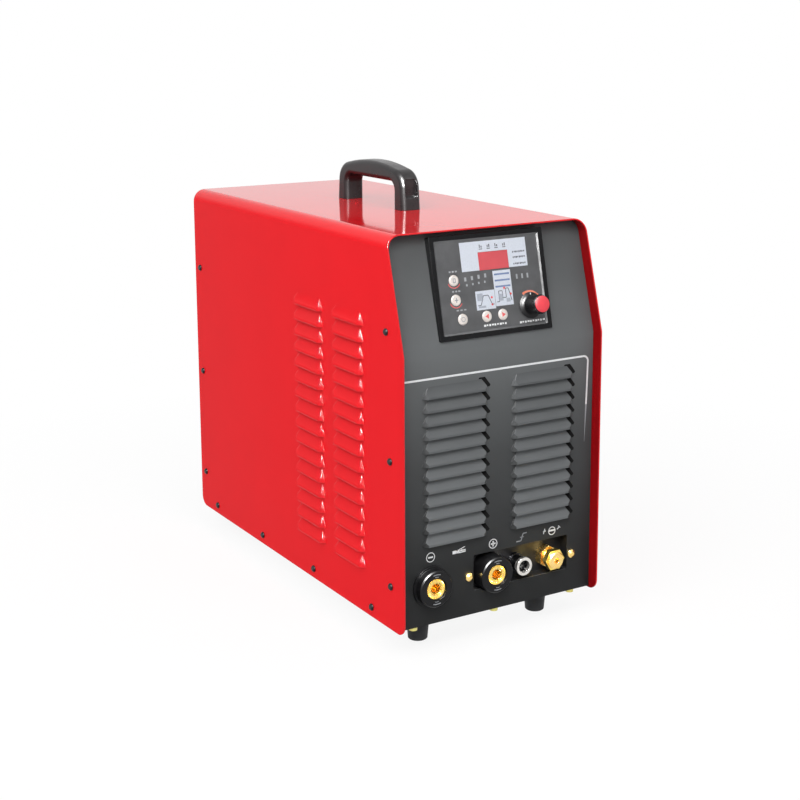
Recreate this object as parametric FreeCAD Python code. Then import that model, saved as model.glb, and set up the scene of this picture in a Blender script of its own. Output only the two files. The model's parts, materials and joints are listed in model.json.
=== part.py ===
"""TIG welding machine, in millimetres.

Frame: +Z up, front towards -Y, origin on the ground under the middle of the whole machine.
While it is modelled, y runs backwards from the cover's front edge; save_all() moves the
finished pieces so that the origin lies under the middle.
"""
import FreeCAD, Part
import math
import os

os.makedirs("parts", exist_ok=True)
V = FreeCAD.Vector

# ---------------------------------------------------------------- driving dimensions
# Case
COVER_W = 240.0          # outside width
COVER_D = 493.0          # depth of the cover's sides
COVER_H = 397.5          # height of the cover
COVER_T = 1.5            # cover sheet
BEND_R = 14.5            # outside radius of the cover's top bends
CORNER_R = 12.0          # rounding of the lower corners of the cover's sides
KINK_H = 282.4           # height on the cover where its front edge starts to lean back
KINK_R = 9.0             # rounding of that kink
LEAN = 15.5              # degrees the upper front leans back
RECESS = 12.4            # front panel behind the cover's front edge
REAR_RECESS = 3.0        # rear panel inside the cover's rear edge
COVER_DROP = 3.2         # cover's lower edge below the base plate
PANEL_T = 1.2            # front and rear panel sheet
FLANGE = 24.0            # depth of the panels' bent edges
BASE_T = 1.5             # base plate sheet
BASE_FLANGE_H = 16.0     # height of the base plate's side flanges
SEAM = 0.3               # gap between neighbouring sheets
SHEAR = 0.3              # gap left under a louvre by its cut

# Louvres
SIDE_LOUVRE_L = 61.0
SIDE_LOUVRE_H = 13.2
SIDE_LOUVRE_OUT = 5.0
SIDE_LOUVRE_PITCH = 16.9
SIDE_LOUVRE_ROWS = 16
SIDE_LOUVRE_BOTTOM = 48.3   # lowest lip above the cover's lower edge
SIDE_LOUVRE_CENTRES = (107.5, 193.0)   # behind the cover's front edge
FRONT_LOUVRE_L = 76.0
FRONT_LOUVRE_H = 11.8
FRONT_LOUVRE_OUT = 4.6
FRONT_LOUVRE_PITCH = 13.75
FRONT_LOUVRE_ROWS = 12
FRONT_LOUVRE_BOTTOM = 84.8
FRONT_LOUVRE_OFFSET = 53.0  # centre of each column from the middle
LOUVRE_LIP = 2.2            # straight lip at a louvre's lower edge
LOUVRE_TAPER = 6.5          # each end leans in by this from lip to top
LOUVRE_CHEEK = 0.5          # slope of a hood's ends in plan, times how far it stands out
LOUVRE_CORNER_R = 3.0
LOUVRE_ROUND = 1.4          # rounding of a hood's ends in plan, times how far it stands out
LOUVRE_HOLLOW_ROUND = 1.2
LIP_ROUND = 0.65            # rounding above the lip, times how far the hood stands out

# Fasteners
M4_R = 2.0
M5_R = 2.5
THREAD_PLAY = 0.05          # radial gap between a screw and the hole it is driven into
HOLE_PLAY = 0.3             # radial gap in a plain screw hole
PAST = 1.0                  # how far a cutting tool reaches past the face that it cuts
COVER_SCREW_HEAD_R = 3.6
COVER_SCREW_HEAD_H = 2.3
COVER_SCREW_TOP_R = 2.5
COVER_SCREW_L = 8.0
COVER_SCREW_HEIGHTS = (45.5, 174.7, 303.5)
FRONT_SCREW_BACK = 12.8     # front column of cover screws behind the front panel
REAR_SCREW_BACK = 15.0      # rear column in front of the cover's rear edge
LOW_SCREW_H = 7.4
LOW_SCREW_FIRST = 64.0
LOW_SCREW_PITCH = 127.0
LOW_SCREW_COUNT = 4
EDGE_SCREW_HEAD_R = 4.2
EDGE_SCREW_HEAD_H = 4.6
EDGE_SCREW_SOCKET_R = 1.4
EDGE_SCREW_SOCKET_H = 1.4
EDGE_SCREW_L = 9.0
EDGE_SCREW_BACK = 7.0      # behind the front panel
EDGE_SCREW_SPAN = 98.0

# Feet
FOOT_H = 30.7
FOOT_TOP_R = 12.6
FOOT_BOTTOM_R = 10.2
FOOT_ASIDE = 45.8            # inside the cover's side
FOOT_INSET = 49.5
FOOT_RECESS_R = 5.6
FOOT_RECESS_H = 12.0
FOOT_EDGE = 1.0
FOOT_RIM_H = 3.0
FOOT_SCREW_HEAD_H = 3.0
FOOT_SCREW_HEAD_R = 4.6
FOOT_SCREW_REACH = 4.0      # above the base plate

# Handle
HANDLE_L = 147.0
HANDLE_W = 24.0
HANDLE_H = 53.0             # apex of the two grip slopes before rounding
HANDLE_SHOULDER_H = 40.0
HANDLE_SHOULDER_IN = 3.0
HANDLE_SHOULDER_R = 22.0
HANDLE_SLOPE_MIN = 1.0      # straight left between a shoulder and the crown
HANDLE_CROWN_R = 240.0      # held back by the slopes of a short handle
HANDLE_LEG_L = 21.0         # front to back at the foot of each leg
HANDLE_GAP_H = 29.5
HANDLE_GAP_R = 10.0
HANDLE_EDGE_R = 5.5
HANDLE_POCKET_W = 15.0      # hollow in the outer face of each leg
HANDLE_POCKET_LOW = 13.0
HANDLE_POCKET_HIGH = 33.0
HANDLE_POCKET_DEPTH = 6.0
HANDLE_POCKET_R = 3.0
HANDLE_SCREW_L = 14.0        # in the handle
HANDLE_SCREW_HEAD_R = 4.5
HANDLE_SCREW_HEAD_H = 3.2
HANDLE_BACK = 252.5         # middle of the handle behind the cover's front edge

# Terminals
TERMINAL_H = 42.8           # above the cover's lower edge
MINUS_X = -81.6
PLUS_X = -8.1
CONTROL_PLUG_X = 29.4
GAS_X = 68.0
SOCKET_FRONT = 0.4          # socket faces behind the cover's front edge
SOCKET_R = 19.0
SOCKET_FLANGE_R = 21.0
SOCKET_FLANGE_T = 3.0
SOCKET_NECK_R = 14.0
SOCKET_MOUTH_R = 11.6
SOCKET_MOUTH_DEPTH = 1.6
SOCKET_EDGE = 1.2
SOCKET_NECK_OUT = 1.0       # neck beyond its nut
INSERT_R = 10.4
INSERT_BORE_R = 6.6
INSERT_BORE_L = 26.0
INSERT_BODY_L = 32.0
INSERT_COLLAR_R = 11.9
INSERT_COLLAR_T = 2.0
STUD_R = 5.0
STUD_L = 16.0
SOCKET_NUT_AF = 34.0        # across flats
SOCKET_NUT_T = 6.0
STUD_NUT_AF = 17.0
STUD_NUT_T = 6.0
OUTLET_NUT_AF = 22.0
OUTLET_NUT_T = 4.0
WINDOW_LEFT = -30.0
WINDOW_RIGHT = 88.5
WINDOW_LOW = 27.0
WINDOW_HIGH = 64.8
WINDOW_R = 2.0
PLUS_HOLE_PLAY = 1.3        # front panel around the plus socket
TRAY_DEPTH = 12.0
TRAY_T = 2.0
TRAY_RIM = 14.0             # rim behind the panel, left and right
TRAY_RIM_LOW = 6.0          # rim above and below
TRAY_CORNER_R = 3.0
TRAY_CLEAR = 0.6            # pocket larger than the window
TRAY_SCREW_OUT = 5.4        # beyond the window's edges
TRAY_SCREW_HEAD_R = 4.4
TRAY_SCREW_TOP_R = 2.2
TRAY_SCREW_HEAD_H = 2.8
TRAY_SCREW_RIM_H = 1.2
TRAY_SCREW_L = 9.0
PLUG_BARREL_R = 8.4
PLUG_RING_R = 9.6
PLUG_BORE_R = 6.6
PLUG_FRONT = 6.6            # behind the cover's front edge
PLUG_RING_L = 4.0
PLUG_COLLAR_R = 9.6
PLUG_COLLAR_T = 3.0
PLUG_TAIL_L = 7.0
PLUG_FACE = 7.0             # insulator behind the ring's front
PLUG_CORE_TAIL_L = 9.0
PIN_COUNT = 5
PIN_CIRCLE_R = 3.6
PIN_R = 0.7
PIN_OUT = 5.0               # pins in front of the insulator
PIN_TAIL_L = 4.0
GAS_FRONT = 2.4
GAS_BARREL_R = 9.2
GAS_HEX_AF = 21.0
GAS_BORE_R = 3.2
GAS_BORE_L = 6.0
GAS_EDGE = 1.0
GAS_BARREL_L = 9.0
GAS_NECK_R = 7.0
GAS_HEX_T = 9.0
GAS_TAIL_L = 9.0
GAS_SPIGOT_L = 15.0
GAS_DUCT_R = 1.5

# Control unit on the leaning face
UNIT_W = 135.5
UNIT_L = 103.5
UNIT_X = -2.0               # its middle
UNIT_RISE = 9.6             # lower edge above the fold of the front panel
UNIT_WEDGE = 3.0            # degrees steeper than the panel
UNIT_LOW_OUT = 0.9          # fascia in front of the panel at the lower edge
UNIT_FRAME = 5.0            # width of the visible frame
UNIT_LIP = 1.5              # frame in front of the fascia
UNIT_COLLAR = 2.0           # collar wall around the fascia
UNIT_LEDGE = 3.0            # ledge that carries the fascia
UNIT_COLLAR_PAST = 1.0      # collar behind the front panel
UNIT_BACK = 12.4            # fascia face to control board
UNIT_POST_R = 3.0
UNIT_POST_IN = 0.5          # posts inside the ledge
UNIT_CORNER_R = 1.5
UNIT_EDGE_R = 0.8
UNIT_CUTOUT_PLAY = 0.5
FASCIA_PLAY = 0.2
BOARD_OVERLAP = 2.0         # board behind the ledge
FASCIA_T = 1.5
BOARD_T = 1.6
LENS_W = 35.4
LENS_L = 18.0
LENS_X = 4.1
LENS_UP = 74.8
LENS_BACK = 0.6             # lens behind the fascia
DISPLAY_BORDER = 1.0        # module narrower than the lens
BUTTON_R = 5.6
BUTTON_OUT = 0.9
BUTTON_TRAVEL = 0.6
BUTTON_RIM = 1.2            # rim behind the fascia
BUTTON_RIM_T = 1.0
BUTTON_STEM_R = 2.0
SWITCH_RISE = 3.5           # key switches above the control board
KEY_SWITCH_W = 6.0
CHIP_W = 20.0
CHIP_H = 3.0
CHIP_X = -20.0
PLUG_BLOCK_W = 26.0
PLUG_BLOCK_L = 10.0
PLUG_BLOCK_H = 8.0
PLUG_BLOCK_X = 27.0
PLUG_BLOCK_UP = 75.0
BUTTON_PLACES = (
    ("button_upper", -45.3, 58.6), ("button_middle", -45.3, 39.1), ("button_lower", -39.8, 19.6),
    ("button_left", -11.2, 19.6), ("button_right", 8.2, 19.6))
KNOB_X = 42.2
KNOB_UP = 25.5
KNOB_SKIRT_R = 13.4
KNOB_SKIRT_T = 2.4
KNOB_R = 9.6
KNOB_TIP_R = 9.1
KNOB_H = 21.0
KNOB_GAP = 0.5
KNOB_CAP_R = 8.3
KNOB_CAP_OUT = 1.8
KNOB_CAP_SEAT = 1.6         # cap's floor below the knob's top
KNOB_CAP_EDGE = 1.6
KNOB_CAP_FLAT_R = 4.3
KNOB_EDGE = 1.0
KNOB_RECESS = 3.0           # hollow over the encoder's bushing
KNOB_ROOF = 5.0             # shaft's end below the knob's top
ENCODER_W = 12.0
ENCODER_T = 6.0
BUSHING_R = 4.3
BUSHING_OUT = 1.2           # in front of the fascia
ENCODER_SHAFT_R = 3.0
SHAFT_PLAY = 0.05
END_PLAY = 0.2

# Rear fittings
FAN_H = 235.0               # fan centre above the cover's lower edge
FAN_OUT_R = 86.0
FAN_FLAT_H = 150.0
FAN_DEPTH = 45.0
FAN_BORE_R = 72.0
FAN_TIP_PLAY = 1.6
FAN_HUB_R = 31.0
FAN_HUB_L = 30.0
FAN_BLADES = 7
FAN_BLADE_T = 2.2
FAN_SCREW_R = 79.0
FAN_SHAFT_R = 4.0
FAN_STRUTS = 3
FAN_STRUT_W = 8.0
FAN_STRUT_T = 4.0
FAN_MOTOR_R = 28.0
FAN_MOTOR_T = 10.0
FAN_BEARING_L = 6.0
FAN_ROTOR_GAP = 0.5
FAN_ROOT_R = 29.0
FAN_ROOT_PITCH = 50.0       # degrees
FAN_ROOT_CHORD = 32.0
FAN_TIP_PITCH = 28.0        # degrees
FAN_TIP_CHORD = 44.0
FAN_SCREW_L = 12.0          # in the fan's frame
FAN_SCREW_HEAD_R = 3.8
FAN_SCREW_HEAD_H = 2.6
GUARD_OUT = 5.0             # guard plane behind the rear panel
GUARD_WIRE = 2.2
GUARD_RING_R = 22.0         # innermost ring
GUARD_RING_PITCH = 16.0
GUARD_RINGS = 4
GUARD_HUB_R = 9.0
GUARD_SPOKES = 4
GUARD_PAD_R = 5.0
SWITCH_X = 62.0
SWITCH_FAN_GAP = 4.0        # switch body below the fan
SWITCH_W = 54.0
SWITCH_NOSE_H = 45.0
SWITCH_OUT = 4.0
SWITCH_NOSE_D = 8.0
SWITCH_BODY_H = 66.0
SWITCH_BODY_D = 50.0
LEVER_DRUM_R = 9.0
LEVER_W = 34.0
LEVER_R = 21.0
LEVER_T = 5.0
LEVER_ON = 25.0             # degrees above level when on
LEVER_PIN_R = 2.0
LEVER_PIN_OUT = 3.0
LEVER_AXIS_IN = 4.0         # in front of the rear panel's face
LEVER_MOUTH_H = 25.0
LEVER_SIDE = 1.0            # blade narrower than its drum
LEVER_TIP_R = 1.5
GLAND_X = -66.0
GLAND_H = 60.0
GLAND_OUT = 25.0
GLAND_BORE_R = 7.0
GLAND_NECK_R = 11.9
GLAND_HEX_AF = 32.0
GLAND_HEX_T = 8.0
GLAND_INSIDE_L = 12.0
GLAND_DOME_R = 16.0
GLAND_DOME_L = 6.0
GLAND_TIP_R = 11.0
REAR_NUT_T = 5.0
GROUND_X = 8.0
GROUND_H = 44.0
GROUND_L = 16.0
GROUND_HEAD_T = 4.0
GROUND_HEAD_AF = 10.0
REAR_REACH = 26.0           # gas inlet beyond the cover's rear edge
INLET_HEX_AF = 22.0
INLET_HEX_T = 7.0
INLET_TAIL_R = 5.0
INLET_BORE_R = 2.6
INLET_STEM_R = 6.0
INLET_TIP = 2.0             # lead-in cone of the tail

# Inside
SHELF_H = 150.0
SHELF_T = 1.5
SHELF_ASIDE = 10.2          # inside the front panel's sides
SHELF_FRONT = 150.0
SHELF_BACK = 405.0
SINK_W = 62.0
SINK_H = 138.0
SINK_L = 200.0
SINK_BASE = 8.0
SINK_FIN = 2.5
SINK_FINS = 12
SINK_ASIDE = 15.0           # inside the shelf's edge
SINK_FRONT = 165.0
MODULE_L = 44.0
MODULE_H = 30.0
MODULE_T = 12.0
MODULE_RISE = 54.0          # above the shelf
MODULES = 3
STANDOFF_R = 3.0
STANDOFF_H = 6.0
STANDOFF_IN = 4.0
STANDOFF_END = 8.0
RELAY_W = 30.0
RELAY_L = 24.0
RELAY_H = 25.0
RELAY_ASIDE = 38.0          # inside the board's edge
DRIVER_L = 80.0
DRIVER_H = 29.0
DRIVER_T = 6.0
DRIVER_ASIDE = 16.0
CAN_R = 17.5
CAN_H = 45.0
CAN_SPREAD = 20.0           # centres from the middle of the four
CAN_X = -15.0
CORE_W = 84.0
CORE_D = 60.0
CORE_H = 96.0
CORE_LEG = 20.0
CORE_BACK = 340.0
CORE_X = -20.0
WINDING_PLAY = 0.4
WINDING_INNER_R = 1.0
CHOKE_R = 40.0
CHOKE_BORE_R = 16.0
CHOKE_H = 46.0
CHOKE_BEVEL = 7.0
CHOKE_BACK = 230.0
STARTER_R = 27.0
STARTER_H = 50.0
STARTER_BACK = 108.0
STARTER_ASIDE = 56.6        # inside the front panel's side
STARTER_BORE_R = 9.0
STARTER_CHEEK_T = 4.0
STARTER_WIRE_R = 22.0
VALVE_BACK = 415.0
VALVE_W = 24.0
VALVE_L = 34.0
VALVE_FOOT_T = 3.0
VALVE_STAND_T = 6.0
VALVE_STAND_IN = 4.0
VALVE_SPIGOT_L = 12.0
INLET_SEAT = 2.0            # bore stops short of the valve
COIL_R = 14.0
COIL_H = 36.0
HOSE_R = 4.0
HOSE_WALL = 1.3
BAR_W = 20.0
BAR_T = 3.0
BAR_DROP = 40.0             # tab below the shelf
BAR_TAB_L = 40.0

# ---------------------------------------------------------------- derived places
CASE_BOTTOM = FOOT_H - COVER_DROP
CASE_TOP = CASE_BOTTOM + COVER_H
KINK_Z = CASE_BOTTOM + KINK_H
PANEL_BOTTOM = FOOT_H - PANEL_T
FLOOR_Z = FOOT_H + BASE_T
INNER_HALF_W = COVER_W / 2 - COVER_T - SEAM
INNER_TOP = CASE_TOP - COVER_T - SEAM
LEAN_TAN = math.tan(math.radians(LEAN))
HALF_LEAN_TAN = math.tan(math.radians(LEAN / 2))
REAR_FACE = COVER_D - REAR_RECESS
TERMINAL_Z = CASE_BOTTOM + TERMINAL_H
TRAY_BACK = RECESS + PANEL_T + TRAY_DEPTH       # front face of the tray's floor
SWITCH_Z = CASE_BOTTOM + FAN_H - FAN_FLAT_H / 2 - SWITCH_FAN_GAP - SWITCH_BODY_H / 2
SHELF_HALF_W = INNER_HALF_W - SHELF_ASIDE
SINK_OUT_X = SHELF_HALF_W - SINK_ASIDE          # outer face of the right heat sink
PARTS = {}


def fold_z(offset):
    """Height at which a face lying offset behind the cover's front edge folds back."""
    return KINK_Z - offset * HALF_LEAN_TAN


def face_y(offset, z):
    """Depth at height z of the face that lies offset behind the cover's front edge."""
    return offset + max(0.0, z - fold_z(offset)) * LEAN_TAN


# ---------------------------------------------------------------- helpers
def box(x0, x1, y0, y1, z0, z1):
    return Part.makeBox(x1 - x0, y1 - y0, z1 - z0, V(x0, y0, z0))


def rod(x, y0, y1, z, radius):
    """Round bar along Y."""
    return Part.makeCylinder(radius, y1 - y0, V(x, y0, z), V(0, 1, 0))


def post(x, y, z0, z1, radius):
    """Round bar along Z."""
    return Part.makeCylinder(radius, z1 - z0, V(x, y, z0), V(0, 0, 1))


def hex_bar(x, y0, y1, z, across):
    """Hexagonal bar along Y."""
    radius = across / math.sqrt(3)
    turns = [math.tau * (i + 1 / 2) / 6 for i in range(7)]
    wire = Part.makePolygon([V(x + radius * math.cos(a), y0, z + radius * math.sin(a)) for a in turns])
    return Part.Face(wire).extrude(V(0, y1 - y0, 0))


def turned(x, z, profile):
    """Solid turned about the line along Y through (x, z); profile holds (y, radius) corners."""
    wire = Part.makePolygon([V(x + r, y, z) for y, r in profile + profile[:1]])
    return Part.Face(wire).revolve(V(x, 0, z), V(0, 1, 0), 360)


def turned_up(x, y, profile):
    """Solid turned about the vertical through (x, y); profile holds (radius, z) corners."""
    wire = Part.makePolygon([V(x + r, y, z) for r, z in profile + profile[:1]])
    return Part.Face(wire).revolve(V(x, y, 0), V(0, 0, 1), 360)


def rounded_face(corners, lift):
    """Face with corners (a, b, radius), each rounded; lift(a, b) puts a point in space."""
    count = len(corners)
    marks = []
    for i, (a, b, radius) in enumerate(corners):
        here = V(a, b, 0)
        if radius == 0:
            marks.append((here, None, here))
            continue
        before = V(corners[i - 1][0], corners[i - 1][1], 0).sub(here).normalize()
        after = V(corners[(i + 1) % count][0], corners[(i + 1) % count][1], 0).sub(here).normalize()
        half = before.getAngle(after) / 2
        reach = radius / math.tan(half)
        middle = here + (before + after).normalize() * (radius / math.sin(half) - radius)
        marks.append((here + before * reach, middle, here + after * reach))
    edges = []
    for i, (start, middle, end) in enumerate(marks):
        if middle is not None:
            edges.append(Part.Arc(*(lift(p.x, p.y) for p in (start, middle, end))).toShape())
        following = marks[(i + 1) % count][0]
        if end.distanceToPoint(following) > 1e-6:
            edges.append(Part.makeLine(lift(end.x, end.y), lift(following.x, following.y)))
    return Part.Face(Part.Wire(edges))


def across(corners, x0, x1):
    """Solid with a (y, z, radius) outline, from x0 to x1."""
    return rounded_face(corners, lambda y, z: V(x0, y, z)).extrude(V(x1 - x0, 0, 0))


def upright(corners, z0, z1):
    """Solid with an (x, y, radius) outline, from z0 to z1."""
    return rounded_face(corners, lambda x, y: V(x, y, z0)).extrude(V(0, 0, z1 - z0))


def along(corners, y0, y1):
    """Solid with an (x, z, radius) outline, from y0 to y1."""
    return rounded_face(corners, lambda x, z: V(x, y0, z)).extrude(V(0, y1 - y0, 0))


def arch(half_width, bottom, top, radius, y0, y1):
    """Block with two rounded upper edges, as the inside of the cover."""
    return along([(-half_width, bottom, 0), (half_width, bottom, 0),
                  (half_width, top, radius), (-half_width, top, radius)], y0, y1)


def moved(shape, x=0.0, y=0.0, z=0.0):
    copy = shape.copy()
    copy.translate(V(x, y, z))
    return copy


def mirrored(shape):
    return shape.mirror(V(0, 0, 0), V(1, 0, 0))


def joined(shapes):
    return shapes[0].fuse(shapes[1:]).removeSplitter()


def group(shapes):
    return Part.makeCompound(shapes)


def cut_all(shape, tools):
    return shape.cut(group(tools))


def keep(name, shape):
    PARTS[name] = shape


# ---------------------------------------------------------------- louvres
def louvre(length, height, out, sheet):
    """Hood and the hollow inside it: lip at z = 0, sheet face at y = 0, standing out to -Y."""
    ramp = V(0, out, height - LOUVRE_LIP).normalize()
    shift_y = sheet * ramp.z
    shift_z = -sheet * ramp.y

    def inner_z(y):
        return LOUVRE_LIP + shift_z + (y + out - shift_y) * ramp.z / ramp.y

    root, past, front = sheet / 2, 2 * sheet, sheet - out
    lip_r = LIP_ROUND * out
    hood_side = [(root, 0, 0), (-out, 0, 0), (-out, LOUVRE_LIP, lip_r), (0, height, 0), (root, height, 0)]
    hollow_side = [(past, -SHEAR, 0), (front, -SHEAR, 0), (front, inner_z(front), lip_r / 2),
                   (sheet, inner_z(sheet), 0), (past, inner_z(sheet), 0)]

    lean = LOUVRE_TAPER / (height - LOUVRE_LIP)

    def trimmed(side, half, face, back, radius):
        """The side's bar with its ends sloped in plan and leaning in towards the top."""
        flank, top = half - LOUVRE_CHEEK * out, half - LOUVRE_TAPER
        plan = [(-half, back, 0), (-half, 0, 0), (-flank, face, radius),
                (flank, face, radius), (half, 0, 0), (half, back, 0)]
        front_view = [(-half, -PAST, 0), (half, -PAST, 0), (half, LOUVRE_LIP, LOUVRE_CORNER_R),
                      (top, height, 0), (-top, height, 0), (-half, LOUVRE_LIP, LOUVRE_CORNER_R)]
        bar = across(side, -half, half).common(upright(plan, -SHEAR, height))
        return bar.common(along(front_view, face - PAST, back + PAST))

    half = length / 2
    hood = trimmed(hood_side, half, -out, root, LOUVRE_ROUND * out)
    inside = half - sheet * math.hypot(1, lean)
    hollow = trimmed(hollow_side, inside, front, past, LOUVRE_HOLLOW_ROUND * out)
    return hood, hollow


def side_louvres():
    hood, hollow = louvre(SIDE_LOUVRE_L, SIDE_LOUVRE_H, SIDE_LOUVRE_OUT, COVER_T)
    hoods, hollows = [], []
    for side in (-1, 1):
        for back in SIDE_LOUVRE_CENTRES:
            for row in range(SIDE_LOUVRE_ROWS):
                z = CASE_BOTTOM + SIDE_LOUVRE_BOTTOM + row * SIDE_LOUVRE_PITCH
                for source, target in ((hood, hoods), (hollow, hollows)):
                    copy = source.copy()
                    copy.rotate(V(0, 0, 0), V(0, 0, 1), side * 90)
                    copy.translate(V(side * COVER_W / 2, back, z))
                    target.append(copy)
    return hoods, hollows


def front_louvres():
    hood, hollow = louvre(FRONT_LOUVRE_L, FRONT_LOUVRE_H, FRONT_LOUVRE_OUT, PANEL_T)
    lowest = CASE_BOTTOM + FRONT_LOUVRE_BOTTOM
    places = [(side * FRONT_LOUVRE_OFFSET, RECESS, lowest + row * FRONT_LOUVRE_PITCH)
              for side in (-1, 1) for row in range(FRONT_LOUVRE_ROWS)]
    return [moved(hood, *place) for place in places], [moved(hollow, *place) for place in places]


# ---------------------------------------------------------------- case
def cover_screw_places():
    """(y, z) of the cover screws of one side."""
    places = []
    for height in COVER_SCREW_HEIGHTS:
        z = CASE_BOTTOM + height
        places.append((face_y(RECESS, z) + FRONT_SCREW_BACK, z))
        places.append((COVER_D - REAR_SCREW_BACK, z))
    for i in range(LOW_SCREW_COUNT):
        places.append((LOW_SCREW_FIRST + i * LOW_SCREW_PITCH, CASE_BOTTOM + LOW_SCREW_H + COVER_DROP))
    return places


def side_holes(radius):
    """Round tools through both sides of the case at the cover screws."""
    reach = COVER_SCREW_L + COVER_T
    tools = []
    for y, z in cover_screw_places():
        for side in (-1, 1):
            start = V(side * (COVER_W / 2 + COVER_T), y, z)
            tools.append(Part.makeCylinder(radius, reach + COVER_T, start, V(-side, 0, 0)))
    return tools


def handle_screw_places():
    middle_of_leg = (HANDLE_L - HANDLE_LEG_L) / 2
    return [HANDLE_BACK - middle_of_leg, HANDLE_BACK + middle_of_leg]


def make_cover():
    half = COVER_W / 2
    outside = arch(half, CASE_BOTTOM, CASE_TOP, BEND_R, 0, COVER_D)
    inside = arch(half - COVER_T, CASE_BOTTOM - PAST, CASE_TOP - COVER_T, BEND_R - COVER_T,
                  -PAST, COVER_D + PAST)
    outline = [(0, CASE_BOTTOM, CORNER_R), (0, KINK_Z, KINK_R), (face_y(0, CASE_TOP), CASE_TOP, 0),
               (COVER_D, CASE_TOP, 0), (COVER_D, CASE_BOTTOM, CORNER_R)]
    sheet = outside.cut(inside).common(across(outline, -half, half))
    hoods, hollows = side_louvres()
    holes = side_holes(M4_R + HOLE_PLAY)
    low, high = CASE_TOP - COVER_T - PAST, CASE_TOP + PAST
    holes += [post(0, y, low, high, M5_R + HOLE_PLAY) for y in handle_screw_places()]
    keep("cover", cut_all(sheet.fuse(hoods), hollows + holes))


def make_cover_screws():
    screws = []
    for y, z in cover_screw_places():
        for side in (-1, 1):
            face = side * COVER_W / 2
            tip = face - side * COVER_SCREW_L
            rim, top = face + side * COVER_SCREW_HEAD_H / 2, face + side * COVER_SCREW_HEAD_H
            profile = [(tip, 0), (tip, M4_R), (face, M4_R), (face, COVER_SCREW_HEAD_R),
                       (rim, COVER_SCREW_HEAD_R), (top, COVER_SCREW_TOP_R), (top, 0)]
            wire = Part.makePolygon([V(x, y, z + r) for x, r in profile + profile[:1]])
            screws.append(Part.Face(wire).revolve(V(0, y, z), V(1, 0, 0), 360))
    keep("cover_screws", group(screws))


def front_outline(offset, bottom, top, back):
    """(y, z) outline of the front pan: its face lies offset behind the cover's front edge."""
    fold, top_y = fold_z(offset), face_y(offset, top)
    return [(offset, bottom, 0), (offset, fold, 0), (top_y, top, 0), (top_y + back, top, 0),
            (offset + back, fold, 0), (offset + back, bottom, 0)]


def front_pan():
    width, low, high, radius = INNER_HALF_W, PANEL_BOTTOM, INNER_TOP, BEND_R - COVER_T - SEAM
    outer = across(front_outline(RECESS, low, high, FLANGE), -width, width)
    outer = outer.common(arch(width, low, high, radius, 0, COVER_D / 2))
    low, high = low + PANEL_T, high - PANEL_T
    inner = across(front_outline(RECESS + PANEL_T, low, high, 2 * FLANGE), -width, width)
    inner = inner.common(arch(width - PANEL_T, low, high, radius - PANEL_T, 0, COVER_D / 2))
    return outer.cut(inner)


def window_outline(grow):
    low, high = CASE_BOTTOM + WINDOW_LOW - grow, CASE_BOTTOM + WINDOW_HIGH + grow
    left, right = WINDOW_LEFT - grow, WINDOW_RIGHT + grow
    return [(left, low, WINDOW_R), (right, low, WINDOW_R), (right, high, WINDOW_R), (left, high, WINDOW_R)]


def tray_screw_places():
    return [WINDOW_LEFT - TRAY_SCREW_OUT, WINDOW_RIGHT + TRAY_SCREW_OUT]


def edge_screw_places():
    return [-EDGE_SCREW_SPAN, 0.0, EDGE_SCREW_SPAN]


def make_front_panel():
    hoods, hollows = front_louvres()
    thick = (RECESS - PAST, RECESS + 2 * PANEL_T)
    cuts = [along(window_outline(0), *thick), rod(PLUS_X, *thick, TERMINAL_Z, SOCKET_R + PLUS_HOLE_PLAY),
            rod(MINUS_X, *thick, TERMINAL_Z, SOCKET_NECK_R + HOLE_PLAY), unit_cutout()]
    cuts += [rod(x, *thick, TERMINAL_Z, M4_R + HOLE_PLAY) for x in tray_screw_places()]
    low, high, y = PANEL_BOTTOM - PAST, FOOT_H + PAST, RECESS + EDGE_SCREW_BACK
    cuts += [post(x, y, low, high, M4_R + HOLE_PLAY) for x in edge_screw_places()]
    cuts += side_holes(M4_R + THREAD_PLAY)
    keep("front_panel", cut_all(front_pan().fuse(hoods), hollows + cuts))


def make_rear_panel():
    width, top_r = INNER_HALF_W, BEND_R - COVER_T - SEAM
    outer = arch(width, PANEL_BOTTOM, INNER_TOP, top_r, REAR_FACE - FLANGE, REAR_FACE)
    low, high = PANEL_BOTTOM + PANEL_T, INNER_TOP - PANEL_T
    inner = arch(width - PANEL_T, low, high, top_r - PANEL_T, 0, REAR_FACE - PANEL_T)
    thick = (REAR_FACE - 2 * PANEL_T, REAR_FACE + PAST)
    half_w, half_h = SWITCH_W / 2 + SEAM, SWITCH_NOSE_H / 2 + SEAM
    middle = SWITCH_Z
    cuts = [rod(0, *thick, CASE_BOTTOM + FAN_H, FAN_BORE_R),
            box(SWITCH_X - half_w, SWITCH_X + half_w, *thick, middle - half_h, middle + half_h),
            rod(GLAND_X, *thick, CASE_BOTTOM + GLAND_H, GLAND_NECK_R + HOLE_PLAY),
            rod(GAS_X, *thick, TERMINAL_Z, INLET_STEM_R + HOLE_PLAY),
            rod(GROUND_X, *thick, CASE_BOTTOM + GROUND_H, M5_R + HOLE_PLAY)]
    cuts += [rod(x, *thick, z, M4_R + HOLE_PLAY) for x, z in fan_screw_places()]
    cuts += side_holes(M4_R + THREAD_PLAY)
    keep("rear_panel", cut_all(outer.cut(inner), cuts))


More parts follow.
